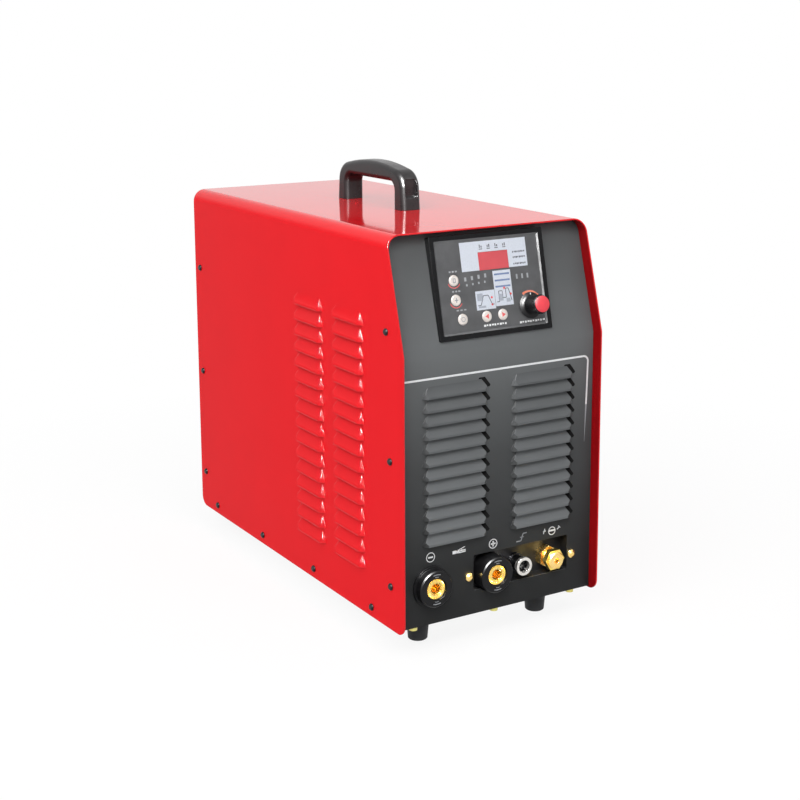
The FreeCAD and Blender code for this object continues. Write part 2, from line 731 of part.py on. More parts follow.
def make_base_plate():
    front, back = RECESS + PANEL_T + SEAM, REAR_FACE - PANEL_T - SEAM
    narrow = INNER_HALF_W - PANEL_T - SEAM
    wing_front, wing_back = RECESS + FLANGE + SEAM, REAR_FACE - FLANGE - SEAM
    floor = box(-narrow, narrow, front, back, FOOT_H, FLOOR_Z)
    rim = FOOT_H + BASE_FLANGE_H
    tray = box(-INNER_HALF_W, INNER_HALF_W, wing_front, wing_back, FOOT_H, rim)
    hollow_half = INNER_HALF_W - BASE_T
    tray = tray.cut(box(-hollow_half, hollow_half, wing_front - PAST, wing_back + PAST, FLOOR_Z, rim + PAST))
    places = foot_places() + [(x, RECESS + EDGE_SCREW_BACK) for x in edge_screw_places()]
    holes = [post(x, y, FOOT_H - PAST, FLOOR_Z + PAST, M4_R + THREAD_PLAY) for x, y in places]
    keep("base_plate", cut_all(joined([floor, tray]), holes + side_holes(M4_R + THREAD_PLAY)))


def make_edge_screws():
    screws = []
    for x in edge_screw_places():
        y = RECESS + EDGE_SCREW_BACK
        low = PANEL_BOTTOM - EDGE_SCREW_HEAD_H
        socket = post(x, y, low - PAST, low + EDGE_SCREW_SOCKET_H, EDGE_SCREW_SOCKET_R)
        head = post(x, y, low, PANEL_BOTTOM, EDGE_SCREW_HEAD_R).cut(socket)
        screws.append(joined([head, post(x, y, PANEL_BOTTOM, PANEL_BOTTOM + EDGE_SCREW_L, M4_R)]))
    keep("edge_screws", group(screws))


# ---------------------------------------------------------------- feet and handle
def foot_places():
    aside = COVER_W / 2 - FOOT_ASIDE
    return [(side * aside, y) for y in (FOOT_INSET, COVER_D - FOOT_INSET) for side in (-1, 1)]


def make_feet():
    feet, screws = [], []
    for x, y in foot_places():
        hole = M4_R + HOLE_PLAY
        profile = [(hole, FOOT_RECESS_H), (FOOT_RECESS_R, FOOT_RECESS_H), (FOOT_RECESS_R, 0),
                   (FOOT_BOTTOM_R - FOOT_EDGE, 0), (FOOT_BOTTOM_R, FOOT_EDGE),
                   (FOOT_TOP_R, FOOT_H - FOOT_RIM_H), (FOOT_TOP_R, FOOT_H), (hole, FOOT_H)]
        feet.append(turned_up(x, y, profile))
        head = post(x, y, FOOT_RECESS_H - FOOT_SCREW_HEAD_H, FOOT_RECESS_H, FOOT_SCREW_HEAD_R)
        screws.append(joined([head, post(x, y, FOOT_RECESS_H, FLOOR_Z + FOOT_SCREW_REACH, M4_R)]))
    keep("front_feet", group(feet[:2]))
    keep("rear_feet", group(feet[2:]))
    keep("foot_screws", group(screws))


def handle_pockets():
    half, low, high = HANDLE_POCKET_W / 2, CASE_TOP + HANDLE_POCKET_LOW, CASE_TOP + HANDLE_POCKET_HIGH
    corners = [(x, z, HANDLE_POCKET_R) for x, z in ((-half, low), (half, low), (half, high), (-half, high))]
    pockets = []
    for end in (HANDLE_BACK - HANDLE_L / 2, HANDLE_BACK + HANDLE_L / 2):
        pockets.append(along(corners, end - HANDLE_POCKET_DEPTH, end + HANDLE_POCKET_DEPTH))
    return pockets


def handle_crown_radius(shoulder):
    """Radius over the crown, as far as the two slopes leave room beside the shoulders' rounding."""
    rise = HANDLE_H - HANDLE_SHOULDER_H
    pitch = math.atan2(rise, shoulder)
    lean = math.atan2(HANDLE_SHOULDER_IN, HANDLE_SHOULDER_H)
    rounded = HANDLE_SHOULDER_R * math.tan((math.pi / 2 - lean - pitch) / 2)
    return min(HANDLE_CROWN_R, (math.hypot(shoulder, rise) - rounded - HANDLE_SLOPE_MIN) / math.tan(pitch))


def make_handle():
    half = HANDLE_L / 2
    gap = half - HANDLE_LEG_L
    shoulder = half - HANDLE_SHOULDER_IN
    outline = [(-half, 0, 0), (half, 0, 0), (shoulder, HANDLE_SHOULDER_H, HANDLE_SHOULDER_R),
               (0, HANDLE_H, handle_crown_radius(shoulder)), (-shoulder, HANDLE_SHOULDER_H, HANDLE_SHOULDER_R)]
    opening = [(-gap, -PAST, 0), (gap, -PAST, 0),
               (gap, HANDLE_GAP_H, HANDLE_GAP_R), (-gap, HANDLE_GAP_H, HANDLE_GAP_R)]
    body = across(outline, -HANDLE_W / 2, HANDLE_W / 2).cut(across(opening, -HANDLE_W, HANDLE_W))
    rims = [edge for edge in body.Edges if edge.BoundBox.XLength < SEAM and edge.BoundBox.ZMax > SEAM]
    body = moved(body.makeFillet(HANDLE_EDGE_R, rims), 0, HANDLE_BACK, CASE_TOP)
    screws, holes = [], handle_pockets()
    under, tip = CASE_TOP - COVER_T, CASE_TOP + HANDLE_SCREW_L
    for y in handle_screw_places():
        holes.append(post(0, y, CASE_TOP - PAST, tip + END_PLAY, M5_R + THREAD_PLAY))
        head = post(0, y, under - HANDLE_SCREW_HEAD_H, under, HANDLE_SCREW_HEAD_R)
        screws.append(joined([head, post(0, y, under, tip, M5_R)]))
    keep("handle", cut_all(body, holes))
    keep("handle_screws", group(screws))


# ---------------------------------------------------------------- terminals
def welding_socket(side, x, seat, wall):
    """One welding socket with its insert, seated on a wall whose front is the plane y = seat.

    Returns the depth at which the insert's stud starts.
    """
    neck_end = seat + wall + SOCKET_NUT_T + SOCKET_NECK_OUT
    front, mouth, flange = SOCKET_FRONT, SOCKET_FRONT + SOCKET_MOUTH_DEPTH, seat - SOCKET_FLANGE_T
    bore = INSERT_R + SHAFT_PLAY
    profile = [(front, SOCKET_MOUTH_R), (front, SOCKET_R - SOCKET_EDGE), (front + SOCKET_EDGE, SOCKET_R),
               (flange, SOCKET_R), (flange, SOCKET_FLANGE_R), (seat, SOCKET_FLANGE_R),
               (seat, SOCKET_NECK_R), (neck_end, SOCKET_NECK_R), (neck_end, bore),
               (mouth, bore), (mouth, SOCKET_MOUTH_R)]
    keep(side + "_socket", turned(x, TERMINAL_Z, profile))
    bore_end = mouth + INSERT_BORE_L
    body_end = max(mouth + INSERT_BODY_L, neck_end + INSERT_COLLAR_T)
    stud_end = body_end + STUD_L
    brass = [(mouth, INSERT_BORE_R), (mouth, INSERT_R), (neck_end, INSERT_R), (neck_end, INSERT_COLLAR_R),
             (body_end, INSERT_COLLAR_R), (body_end, STUD_R), (stud_end, STUD_R), (stud_end, 0),
             (bore_end, 0), (bore_end, INSERT_BORE_R)]
    keep(side + "_socket_insert", turned(x, TERMINAL_Z, brass))
    return body_end


def hex_nut(x, y0, y1, across_flats, bore):
    return hex_bar(x, y0, y1, TERMINAL_Z, across_flats).cut(rod(x, y0 - PAST, y1 + PAST, TERMINAL_Z, bore))


def make_terminals():
    nuts = []
    for side, x, seat, wall in (("minus", MINUS_X, RECESS, PANEL_T), ("plus", PLUS_X, TRAY_BACK, TRAY_T)):
        body_end = welding_socket(side, x, seat, wall)
        behind = seat + wall
        nuts.append(hex_nut(x, behind, behind + SOCKET_NUT_T, SOCKET_NUT_AF, SOCKET_NECK_R + SHAFT_PLAY))
        clamp = body_end + BAR_T
        nuts.append(hex_nut(x, clamp, clamp + STUD_NUT_T, STUD_NUT_AF, STUD_R + SHAFT_PLAY))
        make_busbar(side, x, body_end)
    back = TRAY_BACK + TRAY_T
    for x in (CONTROL_PLUG_X, GAS_X):
        nuts.append(hex_nut(x, back, back + OUTLET_NUT_T, OUTLET_NUT_AF, PLUG_BARREL_R + SHAFT_PLAY))
    keep("front_nuts", group(nuts))


def make_busbar(side, x, seat):
    """Copper bar clamped on a socket stud, rising to the shelf's front edge for its cable."""
    low, high = TERMINAL_Z - BAR_W / 2, CASE_BOTTOM + SHELF_H - BAR_DROP
    riser = box(x - BAR_W / 2, x + BAR_W / 2, seat, seat + BAR_T, low, high)
    tab = box(x - BAR_W / 2, x + BAR_W / 2, seat, seat + BAR_TAB_L, high - BAR_T, high)
    hole = rod(x, seat - PAST, seat + BAR_T + PAST, TERMINAL_Z, STUD_R + SHAFT_PLAY)
    keep(side + "_busbar", joined([riser, tab]).cut(hole))


def make_tray():
    pocket = window_outline(TRAY_CLEAR)
    front = RECESS + PANEL_T
    low, high = CASE_BOTTOM + WINDOW_LOW - TRAY_RIM_LOW, CASE_BOTTOM + WINDOW_HIGH + TRAY_RIM_LOW
    left, right = WINDOW_LEFT - TRAY_RIM, WINDOW_RIGHT + TRAY_RIM
    corners = [(x, z, TRAY_CORNER_R) for x, z in ((left, low), (right, low), (right, high), (left, high))]
    rim = along(corners, front, front + TRAY_T)
    block = along(window_outline(TRAY_CLEAR + TRAY_T), front, TRAY_BACK + TRAY_T)
    bulge = rod(PLUS_X, front, TRAY_BACK + TRAY_T, TERMINAL_Z, SOCKET_FLANGE_R + TRAY_CLEAR + TRAY_T)
    cuts = [along(pocket, front - PAST, TRAY_BACK),
            rod(PLUS_X, front - PAST, TRAY_BACK, TERMINAL_Z, SOCKET_FLANGE_R + TRAY_CLEAR)]
    through = (TRAY_BACK - PAST, TRAY_BACK + TRAY_T + PAST)
    for x, radius in ((PLUS_X, SOCKET_NECK_R), (CONTROL_PLUG_X, PLUG_BARREL_R), (GAS_X, PLUG_BARREL_R)):
        cuts.append(rod(x, *through, TERMINAL_Z, radius + HOLE_PLAY))
    rim_wall = (front - PAST, front + TRAY_T + PAST)
    cuts += [rod(x, *rim_wall, TERMINAL_Z, M4_R + THREAD_PLAY) for x in tray_screw_places()]
    keep("terminal_tray", cut_all(joined([rim, block, bulge]), cuts))
    screws = []
    for x in tray_screw_places():
        top, tip = RECESS - TRAY_SCREW_HEAD_H, RECESS + TRAY_SCREW_L
        screws.append(turned(x, TERMINAL_Z, [
            (top, 0), (top, TRAY_SCREW_TOP_R), (RECESS - TRAY_SCREW_RIM_H, TRAY_SCREW_HEAD_R),
            (RECESS, TRAY_SCREW_HEAD_R), (RECESS, M4_R), (tip, M4_R), (tip, 0)]))
    keep("tray_screws", group(screws))


def make_control_plug():
    back = TRAY_BACK + TRAY_T
    front, ring_end = PLUG_FRONT, PLUG_FRONT + PLUG_RING_L
    collar, tail = TRAY_BACK - PLUG_COLLAR_T, back + PLUG_TAIL_L
    profile = [(front, PLUG_BORE_R), (front, PLUG_RING_R), (ring_end, PLUG_RING_R), (ring_end, PLUG_BARREL_R),
               (collar, PLUG_BARREL_R), (collar, PLUG_COLLAR_R), (TRAY_BACK, PLUG_COLLAR_R),
               (TRAY_BACK, PLUG_BARREL_R), (tail, PLUG_BARREL_R), (tail, PLUG_BORE_R)]
    keep("control_plug_shell", turned(CONTROL_PLUG_X, TERMINAL_Z, profile))
    face, core_end = PLUG_FRONT + PLUG_FACE, back + PLUG_CORE_TAIL_L
    pieces = [rod(CONTROL_PLUG_X, face, core_end, TERMINAL_Z, PLUG_BORE_R - SHAFT_PLAY)]
    for i in range(PIN_COUNT):
        turn = 2 * math.pi * i / PIN_COUNT + math.pi / 2
        x, z = CONTROL_PLUG_X + PIN_CIRCLE_R * math.cos(turn), TERMINAL_Z + PIN_CIRCLE_R * math.sin(turn)
        pieces.append(rod(x, face - PIN_OUT, core_end + PIN_TAIL_L, z, PIN_R))
    keep("control_plug_core", joined(pieces))


def make_gas_outlet():
    back = TRAY_BACK + TRAY_T
    barrel_end, hexagon, tail = GAS_FRONT + GAS_BARREL_L, TRAY_BACK - GAS_HEX_T, back + GAS_TAIL_L
    bore_end, spigot_end = GAS_FRONT + GAS_BORE_L, tail + GAS_SPIGOT_L
    spigot_r = HOSE_R - HOSE_WALL - SHAFT_PLAY
    body = turned(GAS_X, TERMINAL_Z, [
        (GAS_FRONT, GAS_BORE_R), (GAS_FRONT, GAS_BARREL_R - GAS_EDGE), (GAS_FRONT + GAS_EDGE, GAS_BARREL_R),
        (barrel_end, GAS_BARREL_R), (barrel_end, GAS_NECK_R), (TRAY_BACK, GAS_NECK_R),
        (TRAY_BACK, PLUG_BARREL_R), (tail, PLUG_BARREL_R), (tail, spigot_r), (spigot_end, spigot_r),
        (spigot_end, GAS_DUCT_R), (bore_end, GAS_DUCT_R), (bore_end, GAS_BORE_R)])
    collar = hex_bar(GAS_X, hexagon, TRAY_BACK, TERMINAL_Z, GAS_HEX_AF)
    collar = collar.cut(rod(GAS_X, hexagon - PAST, TRAY_BACK + PAST, TERMINAL_Z, GAS_BORE_R))
    keep("gas_outlet", joined([body, collar]))


# ---------------------------------------------------------------- control unit
UNIT_TILT = LEAN - UNIT_WEDGE
WEDGE_TAN = math.tan(math.radians(UNIT_WEDGE))


def unit_origin():
    """Middle of the control unit's lower edge, on the face of its fascia."""
    lean = math.radians(LEAN)
    z = fold_z(RECESS) + UNIT_RISE * math.cos(lean)
    y = face_y(RECESS, z)
    return V(UNIT_X, y - UNIT_LOW_OUT * math.cos(lean), z + UNIT_LOW_OUT * math.sin(lean))


def on_unit(shape):
    """Place a shape made in the unit's own frame: x across, z up its face, -y outwards."""
    copy = shape.copy()
    copy.rotate(V(0, 0, 0), V(1, 0, 0), -UNIT_TILT)
    copy.translate(unit_origin())
    return copy


def unit_block(width, low, high, front, back):
    """Block in the unit's frame with slightly rounded corners; front and back are depths."""
    half = width / 2
    corners = [(x, z, UNIT_CORNER_R) for x, z in ((-half, low), (half, low), (half, high), (-half, high))]
    return along(corners, front, back)


def unit_cutout():
    inset = UNIT_FRAME - UNIT_COLLAR - UNIT_CUTOUT_PLAY
    return on_unit(unit_block(UNIT_W - 2 * inset, inset, UNIT_L - inset, -PAST, UNIT_BACK))


def make_bezel():
    half = UNIT_W / 2
    back_low, back_high = UNIT_LOW_OUT, UNIT_LOW_OUT + UNIT_L * WEDGE_TAN
    wedge = across([(-UNIT_LIP, 0, UNIT_EDGE_R), (back_low, 0, 0), (back_high, UNIT_L, 0),
                    (-UNIT_LIP, UNIT_L, UNIT_EDGE_R)], -half, half)
    wedge = wedge.common(unit_block(UNIT_W, 0, UNIT_L, -UNIT_LIP, UNIT_BACK))
    outer, ledge = UNIT_FRAME - UNIT_COLLAR, UNIT_FRAME + UNIT_LEDGE
    collar_back = back_high + PANEL_T + UNIT_COLLAR_PAST
    collar = unit_block(UNIT_W - 2 * outer, outer, UNIT_L - outer, 0, collar_back)
    seat = unit_block(UNIT_W - 2 * UNIT_FRAME, UNIT_FRAME, UNIT_L - UNIT_FRAME, -UNIT_LIP - PAST, FASCIA_T)
    throat = unit_block(UNIT_W - 2 * ledge, ledge, UNIT_L - ledge, 0, collar_back + PAST)
    body = joined([wedge, collar]).cut(seat).cut(throat)
    posts = []
    for x, z in board_post_places():
        posts.append(rod(x, FASCIA_T, UNIT_BACK, z, UNIT_POST_R))
    keep("control_bezel", on_unit(joined([body] + posts)))


def board_post_places():
    inset = UNIT_FRAME + UNIT_LEDGE + UNIT_POST_IN
    half = UNIT_W / 2 - inset
    return [(side * half, z) for z in (inset, UNIT_L - inset) for side in (-1, 1)]


def make_fascia():
    inset = UNIT_FRAME + FASCIA_PLAY
    plate = unit_block(UNIT_W - 2 * inset, inset, UNIT_L - inset, 0, FASCIA_T)
    through = (-PAST, FASCIA_T + PAST)
    half_w, half_l = LENS_W / 2 + FASCIA_PLAY, LENS_L / 2 + FASCIA_PLAY
    x = LENS_X - UNIT_X
    cuts = [box(x - half_w, x + half_w, *through, LENS_UP - half_l, LENS_UP + half_l)]
    cuts += [rod(x - UNIT_X, *through, z, BUTTON_R + SEAM) for name, x, z in BUTTON_PLACES]
    cuts.append(rod(KNOB_X - UNIT_X, *through, KNOB_UP, BUSHING_R + SEAM))
    keep("fascia", on_unit(cut_all(plate, cuts)))


def make_display():
    x, half = LENS_X - UNIT_X, LENS_W / 2
    low, high, back = LENS_UP - LENS_L / 2, LENS_UP + LENS_L / 2, FASCIA_T + LENS_BACK
    keep("display_lens", on_unit(box(x - half, x + half, 0, back, low, high)))
    half -= DISPLAY_BORDER
    keep("display_module", on_unit(box(x - half, x + half, back + SEAM, UNIT_BACK, low, high)))


def make_control_board():
    inset = UNIT_FRAME + UNIT_LEDGE - BOARD_OVERLAP
    back = UNIT_BACK + BOARD_T
    pieces = [unit_block(UNIT_W - 2 * inset, inset, UNIT_L - inset, UNIT_BACK, back)]
    half, top = KEY_SWITCH_W / 2, UNIT_BACK - SWITCH_RISE
    for name, x, z in BUTTON_PLACES:
        pieces.append(box(x - UNIT_X - half, x - UNIT_X + half, top, UNIT_BACK, z - half, z + half))
    half, middle = CHIP_W / 2, UNIT_L / 2
    pieces.append(box(CHIP_X - half, CHIP_X + half, back, back + CHIP_H, middle - half, middle + half))
    half_w, half_l = PLUG_BLOCK_W / 2, PLUG_BLOCK_L / 2
    pieces.append(box(PLUG_BLOCK_X - half_w, PLUG_BLOCK_X + half_w, back, back + PLUG_BLOCK_H,
                      PLUG_BLOCK_UP - half_l, PLUG_BLOCK_UP + half_l))
    keep("control_board", on_unit(joined(pieces)))


def make_buttons():
    stem_end = UNIT_BACK - SWITCH_RISE - BUTTON_TRAVEL - SEAM
    rim_front, rim_back = FASCIA_T + SEAM, FASCIA_T + SEAM + BUTTON_RIM_T
    rim_r = BUTTON_R + BUTTON_RIM
    profile = [(-BUTTON_OUT, 0), (-BUTTON_OUT, BUTTON_R - BUTTON_OUT), (0, BUTTON_R), (rim_front, BUTTON_R),
               (rim_front, rim_r), (rim_back, rim_r), (rim_back, BUTTON_STEM_R),
               (stem_end, BUTTON_STEM_R), (stem_end, 0)]
    for name, x, z in BUTTON_PLACES:
        keep(name, on_unit(turned(x - UNIT_X, z, profile)))


def make_encoder():
    x, half = KNOB_X - UNIT_X, ENCODER_W / 2
    front = UNIT_BACK - ENCODER_T
    body = box(x - half, x + half, front, UNIT_BACK, KNOB_UP - half, KNOB_UP + half)
    bushing = rod(x, -BUSHING_OUT, front, KNOB_UP, BUSHING_R)
    bore_end = UNIT_BACK - ENCODER_T / 2
    bore = rod(x, -BUSHING_OUT - PAST, bore_end, KNOB_UP, ENCODER_SHAFT_R + SHAFT_PLAY)
    keep("encoder", on_unit(joined([body, bushing]).cut(bore)))
    shaft = rod(x, KNOB_ROOF - KNOB_H, bore_end - SEAM, KNOB_UP, ENCODER_SHAFT_R)
    keep("encoder_shaft", on_unit(shaft))


def make_knob():
    x = KNOB_X - UNIT_X
    back, skirt, top = -KNOB_GAP, -KNOB_GAP - KNOB_SKIRT_T, -KNOB_H
    seat, roof = top + KNOB_CAP_SEAT, top + KNOB_ROOF - END_PLAY
    cap_bore, shaft_bore = KNOB_CAP_R + SHAFT_PLAY, ENCODER_SHAFT_R + SHAFT_PLAY
    hollow_r = BUSHING_R + KNOB_EDGE
    profile = [(back, hollow_r), (back, KNOB_SKIRT_R - KNOB_EDGE / 2), (back - KNOB_EDGE, KNOB_SKIRT_R),
               (skirt, KNOB_R + KNOB_EDGE), (skirt - KNOB_EDGE, KNOB_R), (top + KNOB_EDGE / 2, KNOB_TIP_R),
               (top, KNOB_TIP_R - KNOB_EDGE / 2), (top, cap_bore), (seat, cap_bore), (seat, 0),
               (roof, 0), (roof, shaft_bore), (-KNOB_RECESS, shaft_bore), (-KNOB_RECESS, hollow_r)]
    keep("knob", on_unit(turned(x, KNOB_UP, profile)))
    crown = top - KNOB_CAP_OUT
    rim = (top + crown) / 2
    cap = [(seat, 0), (seat, KNOB_CAP_R), (rim, KNOB_CAP_R),
           (crown + KNOB_EDGE / 3, KNOB_CAP_R - KNOB_CAP_EDGE), (crown, KNOB_CAP_FLAT_R), (crown, 0)]
    keep("knob_cap", on_unit(turned(x, KNOB_UP, cap)))


# ---------------------------------------------------------------- rear fittings
def fan_screw_places():
    reach = FAN_SCREW_R / math.sqrt(2)
    return [(sx * reach, CASE_BOTTOM + FAN_H + sz * reach) for sx in (-1, 1) for sz in (-1, 1)]


def make_fan():
    z = CASE_BOTTOM + FAN_H
    back = REAR_FACE - PANEL_T
    front = back - FAN_DEPTH
    flat = FAN_FLAT_H / 2
    shell = rod(0, front, back, z, FAN_OUT_R)
    shell = shell.common(box(-FAN_OUT_R, FAN_OUT_R, front, back, z - flat, z + flat))
    shell = shell.cut(rod(0, front - PAST, back + PAST, z, FAN_BORE_R))
    pieces = [shell, rod(0, front, front + FAN_MOTOR_T, z, FAN_MOTOR_R)]
    half = FAN_STRUT_W / 2
    for i in range(FAN_STRUTS):
        arm = box(FAN_MOTOR_R - half, FAN_BORE_R + half, front, front + FAN_STRUT_T, z - half, z + half)
        arm.rotate(V(0, 0, z), V(0, 1, 0), 360 / FAN_STRUTS * (i + 1 / 4))
        pieces.append(arm)
    motor_back = front + FAN_MOTOR_T
    bearing_front = motor_back - FAN_BEARING_L
    cuts = [rod(0, bearing_front, motor_back + PAST, z, FAN_SHAFT_R + SHAFT_PLAY)]
    screw_tip = back - FAN_SCREW_L - END_PLAY
    cuts += [rod(x, screw_tip, back + PAST, zz, M4_R + THREAD_PLAY) for x, zz in fan_screw_places()]
    keep("fan_frame", cut_all(joined(pieces), cuts))
    hub_front = motor_back + FAN_ROTOR_GAP
    hub = rod(0, hub_front, hub_front + FAN_HUB_L, z, FAN_HUB_R)
    shaft = rod(0, bearing_front + FAN_ROTOR_GAP, hub_front, z, FAN_SHAFT_R)
    blades = [fan_blade(i * 360.0 / FAN_BLADES, hub_front, z) for i in range(FAN_BLADES)]
    keep("fan_rotor", joined([hub, shaft] + blades))


def fan_blade(turn, hub_front, z):
    """Twisted blade from the hub to the tip, turned to its place about the fan's axis."""
    wires = []
    middle, deepest = hub_front + FAN_HUB_L / 2, FAN_HUB_L / 2 - PAST
    for radius, pitch, chord in ((FAN_ROOT_R, FAN_ROOT_PITCH, FAN_ROOT_CHORD),
                                 (FAN_BORE_R - FAN_TIP_PLAY, FAN_TIP_PITCH, FAN_TIP_CHORD)):
        angle = math.radians(pitch)
        half_x, half_y = chord / 2 * math.cos(angle), min(chord / 2 * math.sin(angle), deepest)
        thick = FAN_BLADE_T / 2 / math.cos(angle)
        reach = z + math.sqrt(radius ** 2 - half_x ** 2)
        corners = [V(-half_x, middle - half_y - thick, reach), V(half_x, middle + half_y - thick, reach),
                   V(half_x, middle + half_y + thick, reach), V(-half_x, middle - half_y + thick, reach)]
        wires.append(Part.makePolygon(corners + corners[:1]))
    blade = Part.makeLoft(wires, True, True)
    blade.rotate(V(0, 0, z), V(0, 1, 0), turn)
    return blade


def make_guard():
    z = CASE_BOTTOM + FAN_H
    back = REAR_FACE + GUARD_OUT
    front, half = back - GUARD_WIRE, GUARD_WIRE / 2
    pieces = [rod(0, front, back, z, GUARD_HUB_R)]
    for i in range(GUARD_RINGS):
        radius = GUARD_RING_R + i * GUARD_RING_PITCH
        ring = rod(0, front, back, z, radius + half)
        pieces.append(ring.cut(rod(0, front - PAST, back + PAST, z, radius - half)))
    for i in range(GUARD_SPOKES):
        spoke = box(GUARD_HUB_R - half, FAN_SCREW_R, front, back, z - half, z + half)
        spoke.rotate(V(0, 0, z), V(0, 1, 0), 360 / GUARD_SPOKES * (i + 1 / 2))
        pieces.append(spoke)
    pieces += [rod(x, REAR_FACE, back, zz, GUARD_PAD_R) for x, zz in fan_screw_places()]
    holes = [rod(x, REAR_FACE - PAST, back + PAST, zz, M4_R + HOLE_PLAY) for x, zz in fan_screw_places()]
    keep("fan_guard", cut_all(joined(pieces), holes))
    tip, top = REAR_FACE - PANEL_T - FAN_SCREW_L, back + FAN_SCREW_HEAD_H
    profile = [(tip, 0), (tip, M4_R), (back, M4_R),
               (back, FAN_SCREW_HEAD_R), (top, FAN_SCREW_HEAD_R), (top, 0)]
    keep("fan_screws", group([turned(x, zz, profile) for x, zz in fan_screw_places()]))


def lever_axis():
    """(y, z) of the power switch's pin."""
    return REAR_FACE - LEVER_AXIS_IN, SWITCH_Z


def level_bar(x0, x1, radius):
    """Round bar along X on the power switch's axis."""
    return Part.makeCylinder(radius, x1 - x0, V(x0, *lever_axis()), V(1, 0, 0))


def make_switch():
    axis_y, z = lever_axis()
    left, right = SWITCH_X - SWITCH_W / 2, SWITCH_X + SWITCH_W / 2
    wall, face = REAR_FACE - PANEL_T, REAR_FACE + SWITCH_OUT
    half = SWITCH_NOSE_H / 2
    nose = box(left, right, wall - SWITCH_NOSE_D, face, z - half, z + half)
    half = SWITCH_BODY_H / 2
    body = box(left, right, wall - SWITCH_BODY_D, wall, z - half, z + half)
    lever_left, lever_right = SWITCH_X - LEVER_W / 2, SWITCH_X + LEVER_W / 2
    pin_left, pin_right = lever_left - LEVER_PIN_OUT, lever_right + LEVER_PIN_OUT
    pocket = level_bar(lever_left - SEAM, lever_right + SEAM, LEVER_DRUM_R + SEAM)
    half = LEVER_MOUTH_H / 2
    mouth = box(lever_left - SEAM, lever_right + SEAM, axis_y, face + PAST, z - half, z + half)
    pin_hole = level_bar(pin_left - END_PLAY, pin_right + END_PLAY, LEVER_PIN_R + SHAFT_PLAY)
    keep("power_switch", cut_all(joined([nose, body]), [pocket, mouth, pin_hole]))
    half = LEVER_T / 2
    outline = [(0, -half, 0), (LEVER_R, -half, LEVER_TIP_R), (LEVER_R, half, LEVER_TIP_R), (0, half, 0)]
    blade = moved(across(outline, lever_left + LEVER_SIDE, lever_right - LEVER_SIDE), 0, axis_y, z)
    blade.rotate(V(0, axis_y, z), V(1, 0, 0), LEVER_ON)
    drum, pin = level_bar(lever_left, lever_right, LEVER_DRUM_R), level_bar(pin_left, pin_right, LEVER_PIN_R)
    keep("switch_lever", joined([drum, pin, blade]))


def make_gland():
    z = CASE_BOTTOM + GLAND_H
    inner, hexagon, back = REAR_FACE - PANEL_T, REAR_FACE + GLAND_HEX_T, REAR_FACE + GLAND_OUT
    inside, dome = inner - GLAND_INSIDE_L, back - GLAND_DOME_L
    base = hex_bar(GLAND_X, REAR_FACE, hexagon, z, GLAND_HEX_AF)
    shell = turned(GLAND_X, z, [
        (inside, GLAND_BORE_R), (inside, GLAND_NECK_R), (hexagon, GLAND_NECK_R), (hexagon, GLAND_DOME_R),
        (dome, GLAND_DOME_R), (back, GLAND_TIP_R), (back, GLAND_BORE_R)])
    bore = rod(GLAND_X, inside - PAST, back + PAST, z, GLAND_BORE_R)
    keep("cable_gland", joined([base, shell]).cut(bore))
    nut_front = inner - REAR_NUT_T
    lock = hex_bar(GLAND_X, nut_front, inner, z, GLAND_HEX_AF)
    lock = lock.cut(rod(GLAND_X, nut_front - PAST, inner + PAST, z, GLAND_NECK_R + SHAFT_PLAY))
    inlet = hex_nut(GAS_X, nut_front, inner, INLET_HEX_AF, INLET_STEM_R + SHAFT_PLAY)
    keep("rear_nuts", group([lock, inlet]))


def make_gas_line():
    tail_end, hex_end = COVER_D + REAR_REACH, REAR_FACE + INLET_HEX_T
    valve_back, valve_front = VALVE_BACK + VALVE_L / 2, VALVE_BACK - VALVE_L / 2
    hexagon = hex_bar(GAS_X, REAR_FACE, hex_end, TERMINAL_Z, INLET_HEX_AF)
    stem = turned(GAS_X, TERMINAL_Z, [
        (valve_back, 0), (valve_back, INLET_STEM_R), (hex_end, INLET_STEM_R), (hex_end, INLET_TAIL_R),
        (tail_end - INLET_TIP, INLET_TAIL_R), (tail_end, INLET_TAIL_R - INLET_TIP / 2), (tail_end, 0)])
    bore = rod(GAS_X, valve_back + INLET_SEAT, tail_end + PAST, TERMINAL_Z, INLET_BORE_R)
    keep("gas_inlet", joined([hexagon, stem]).cut(bore))
    left, right, half = GAS_X - VALVE_W / 2, GAS_X + VALVE_W / 2, VALVE_W / 2
    block = box(left, right, valve_front, valve_back, TERMINAL_Z - half, TERMINAL_Z + half)
    foot = box(left, right, valve_front, valve_back, FLOOR_Z, FLOOR_Z + VALVE_FOOT_T)
    stand_half = VALVE_STAND_T / 2
    stand = box(GAS_X - stand_half, GAS_X + stand_half, valve_front + VALVE_STAND_IN,
                valve_back - VALVE_STAND_IN, FLOOR_Z, TERMINAL_Z)
    spigot_r = HOSE_R - HOSE_WALL - SHAFT_PLAY
    spigot = rod(GAS_X, valve_front - VALVE_SPIGOT_L, valve_front, TERMINAL_Z, spigot_r)
    keep("solenoid_valve", joined([block, foot, stand, spigot]))
    keep("valve_coil", post(GAS_X, VALVE_BACK, TERMINAL_Z + half, TERMINAL_Z + half + COIL_H, COIL_R))
    outlet_end = TRAY_BACK + TRAY_T + GAS_TAIL_L + SEAM
    hose = rod(GAS_X, outlet_end, valve_front - SEAM, TERMINAL_Z, HOSE_R)
    keep("gas_hose", hose.cut(rod(GAS_X, outlet_end - PAST, valve_front, TERMINAL_Z, HOSE_R - HOSE_WALL)))


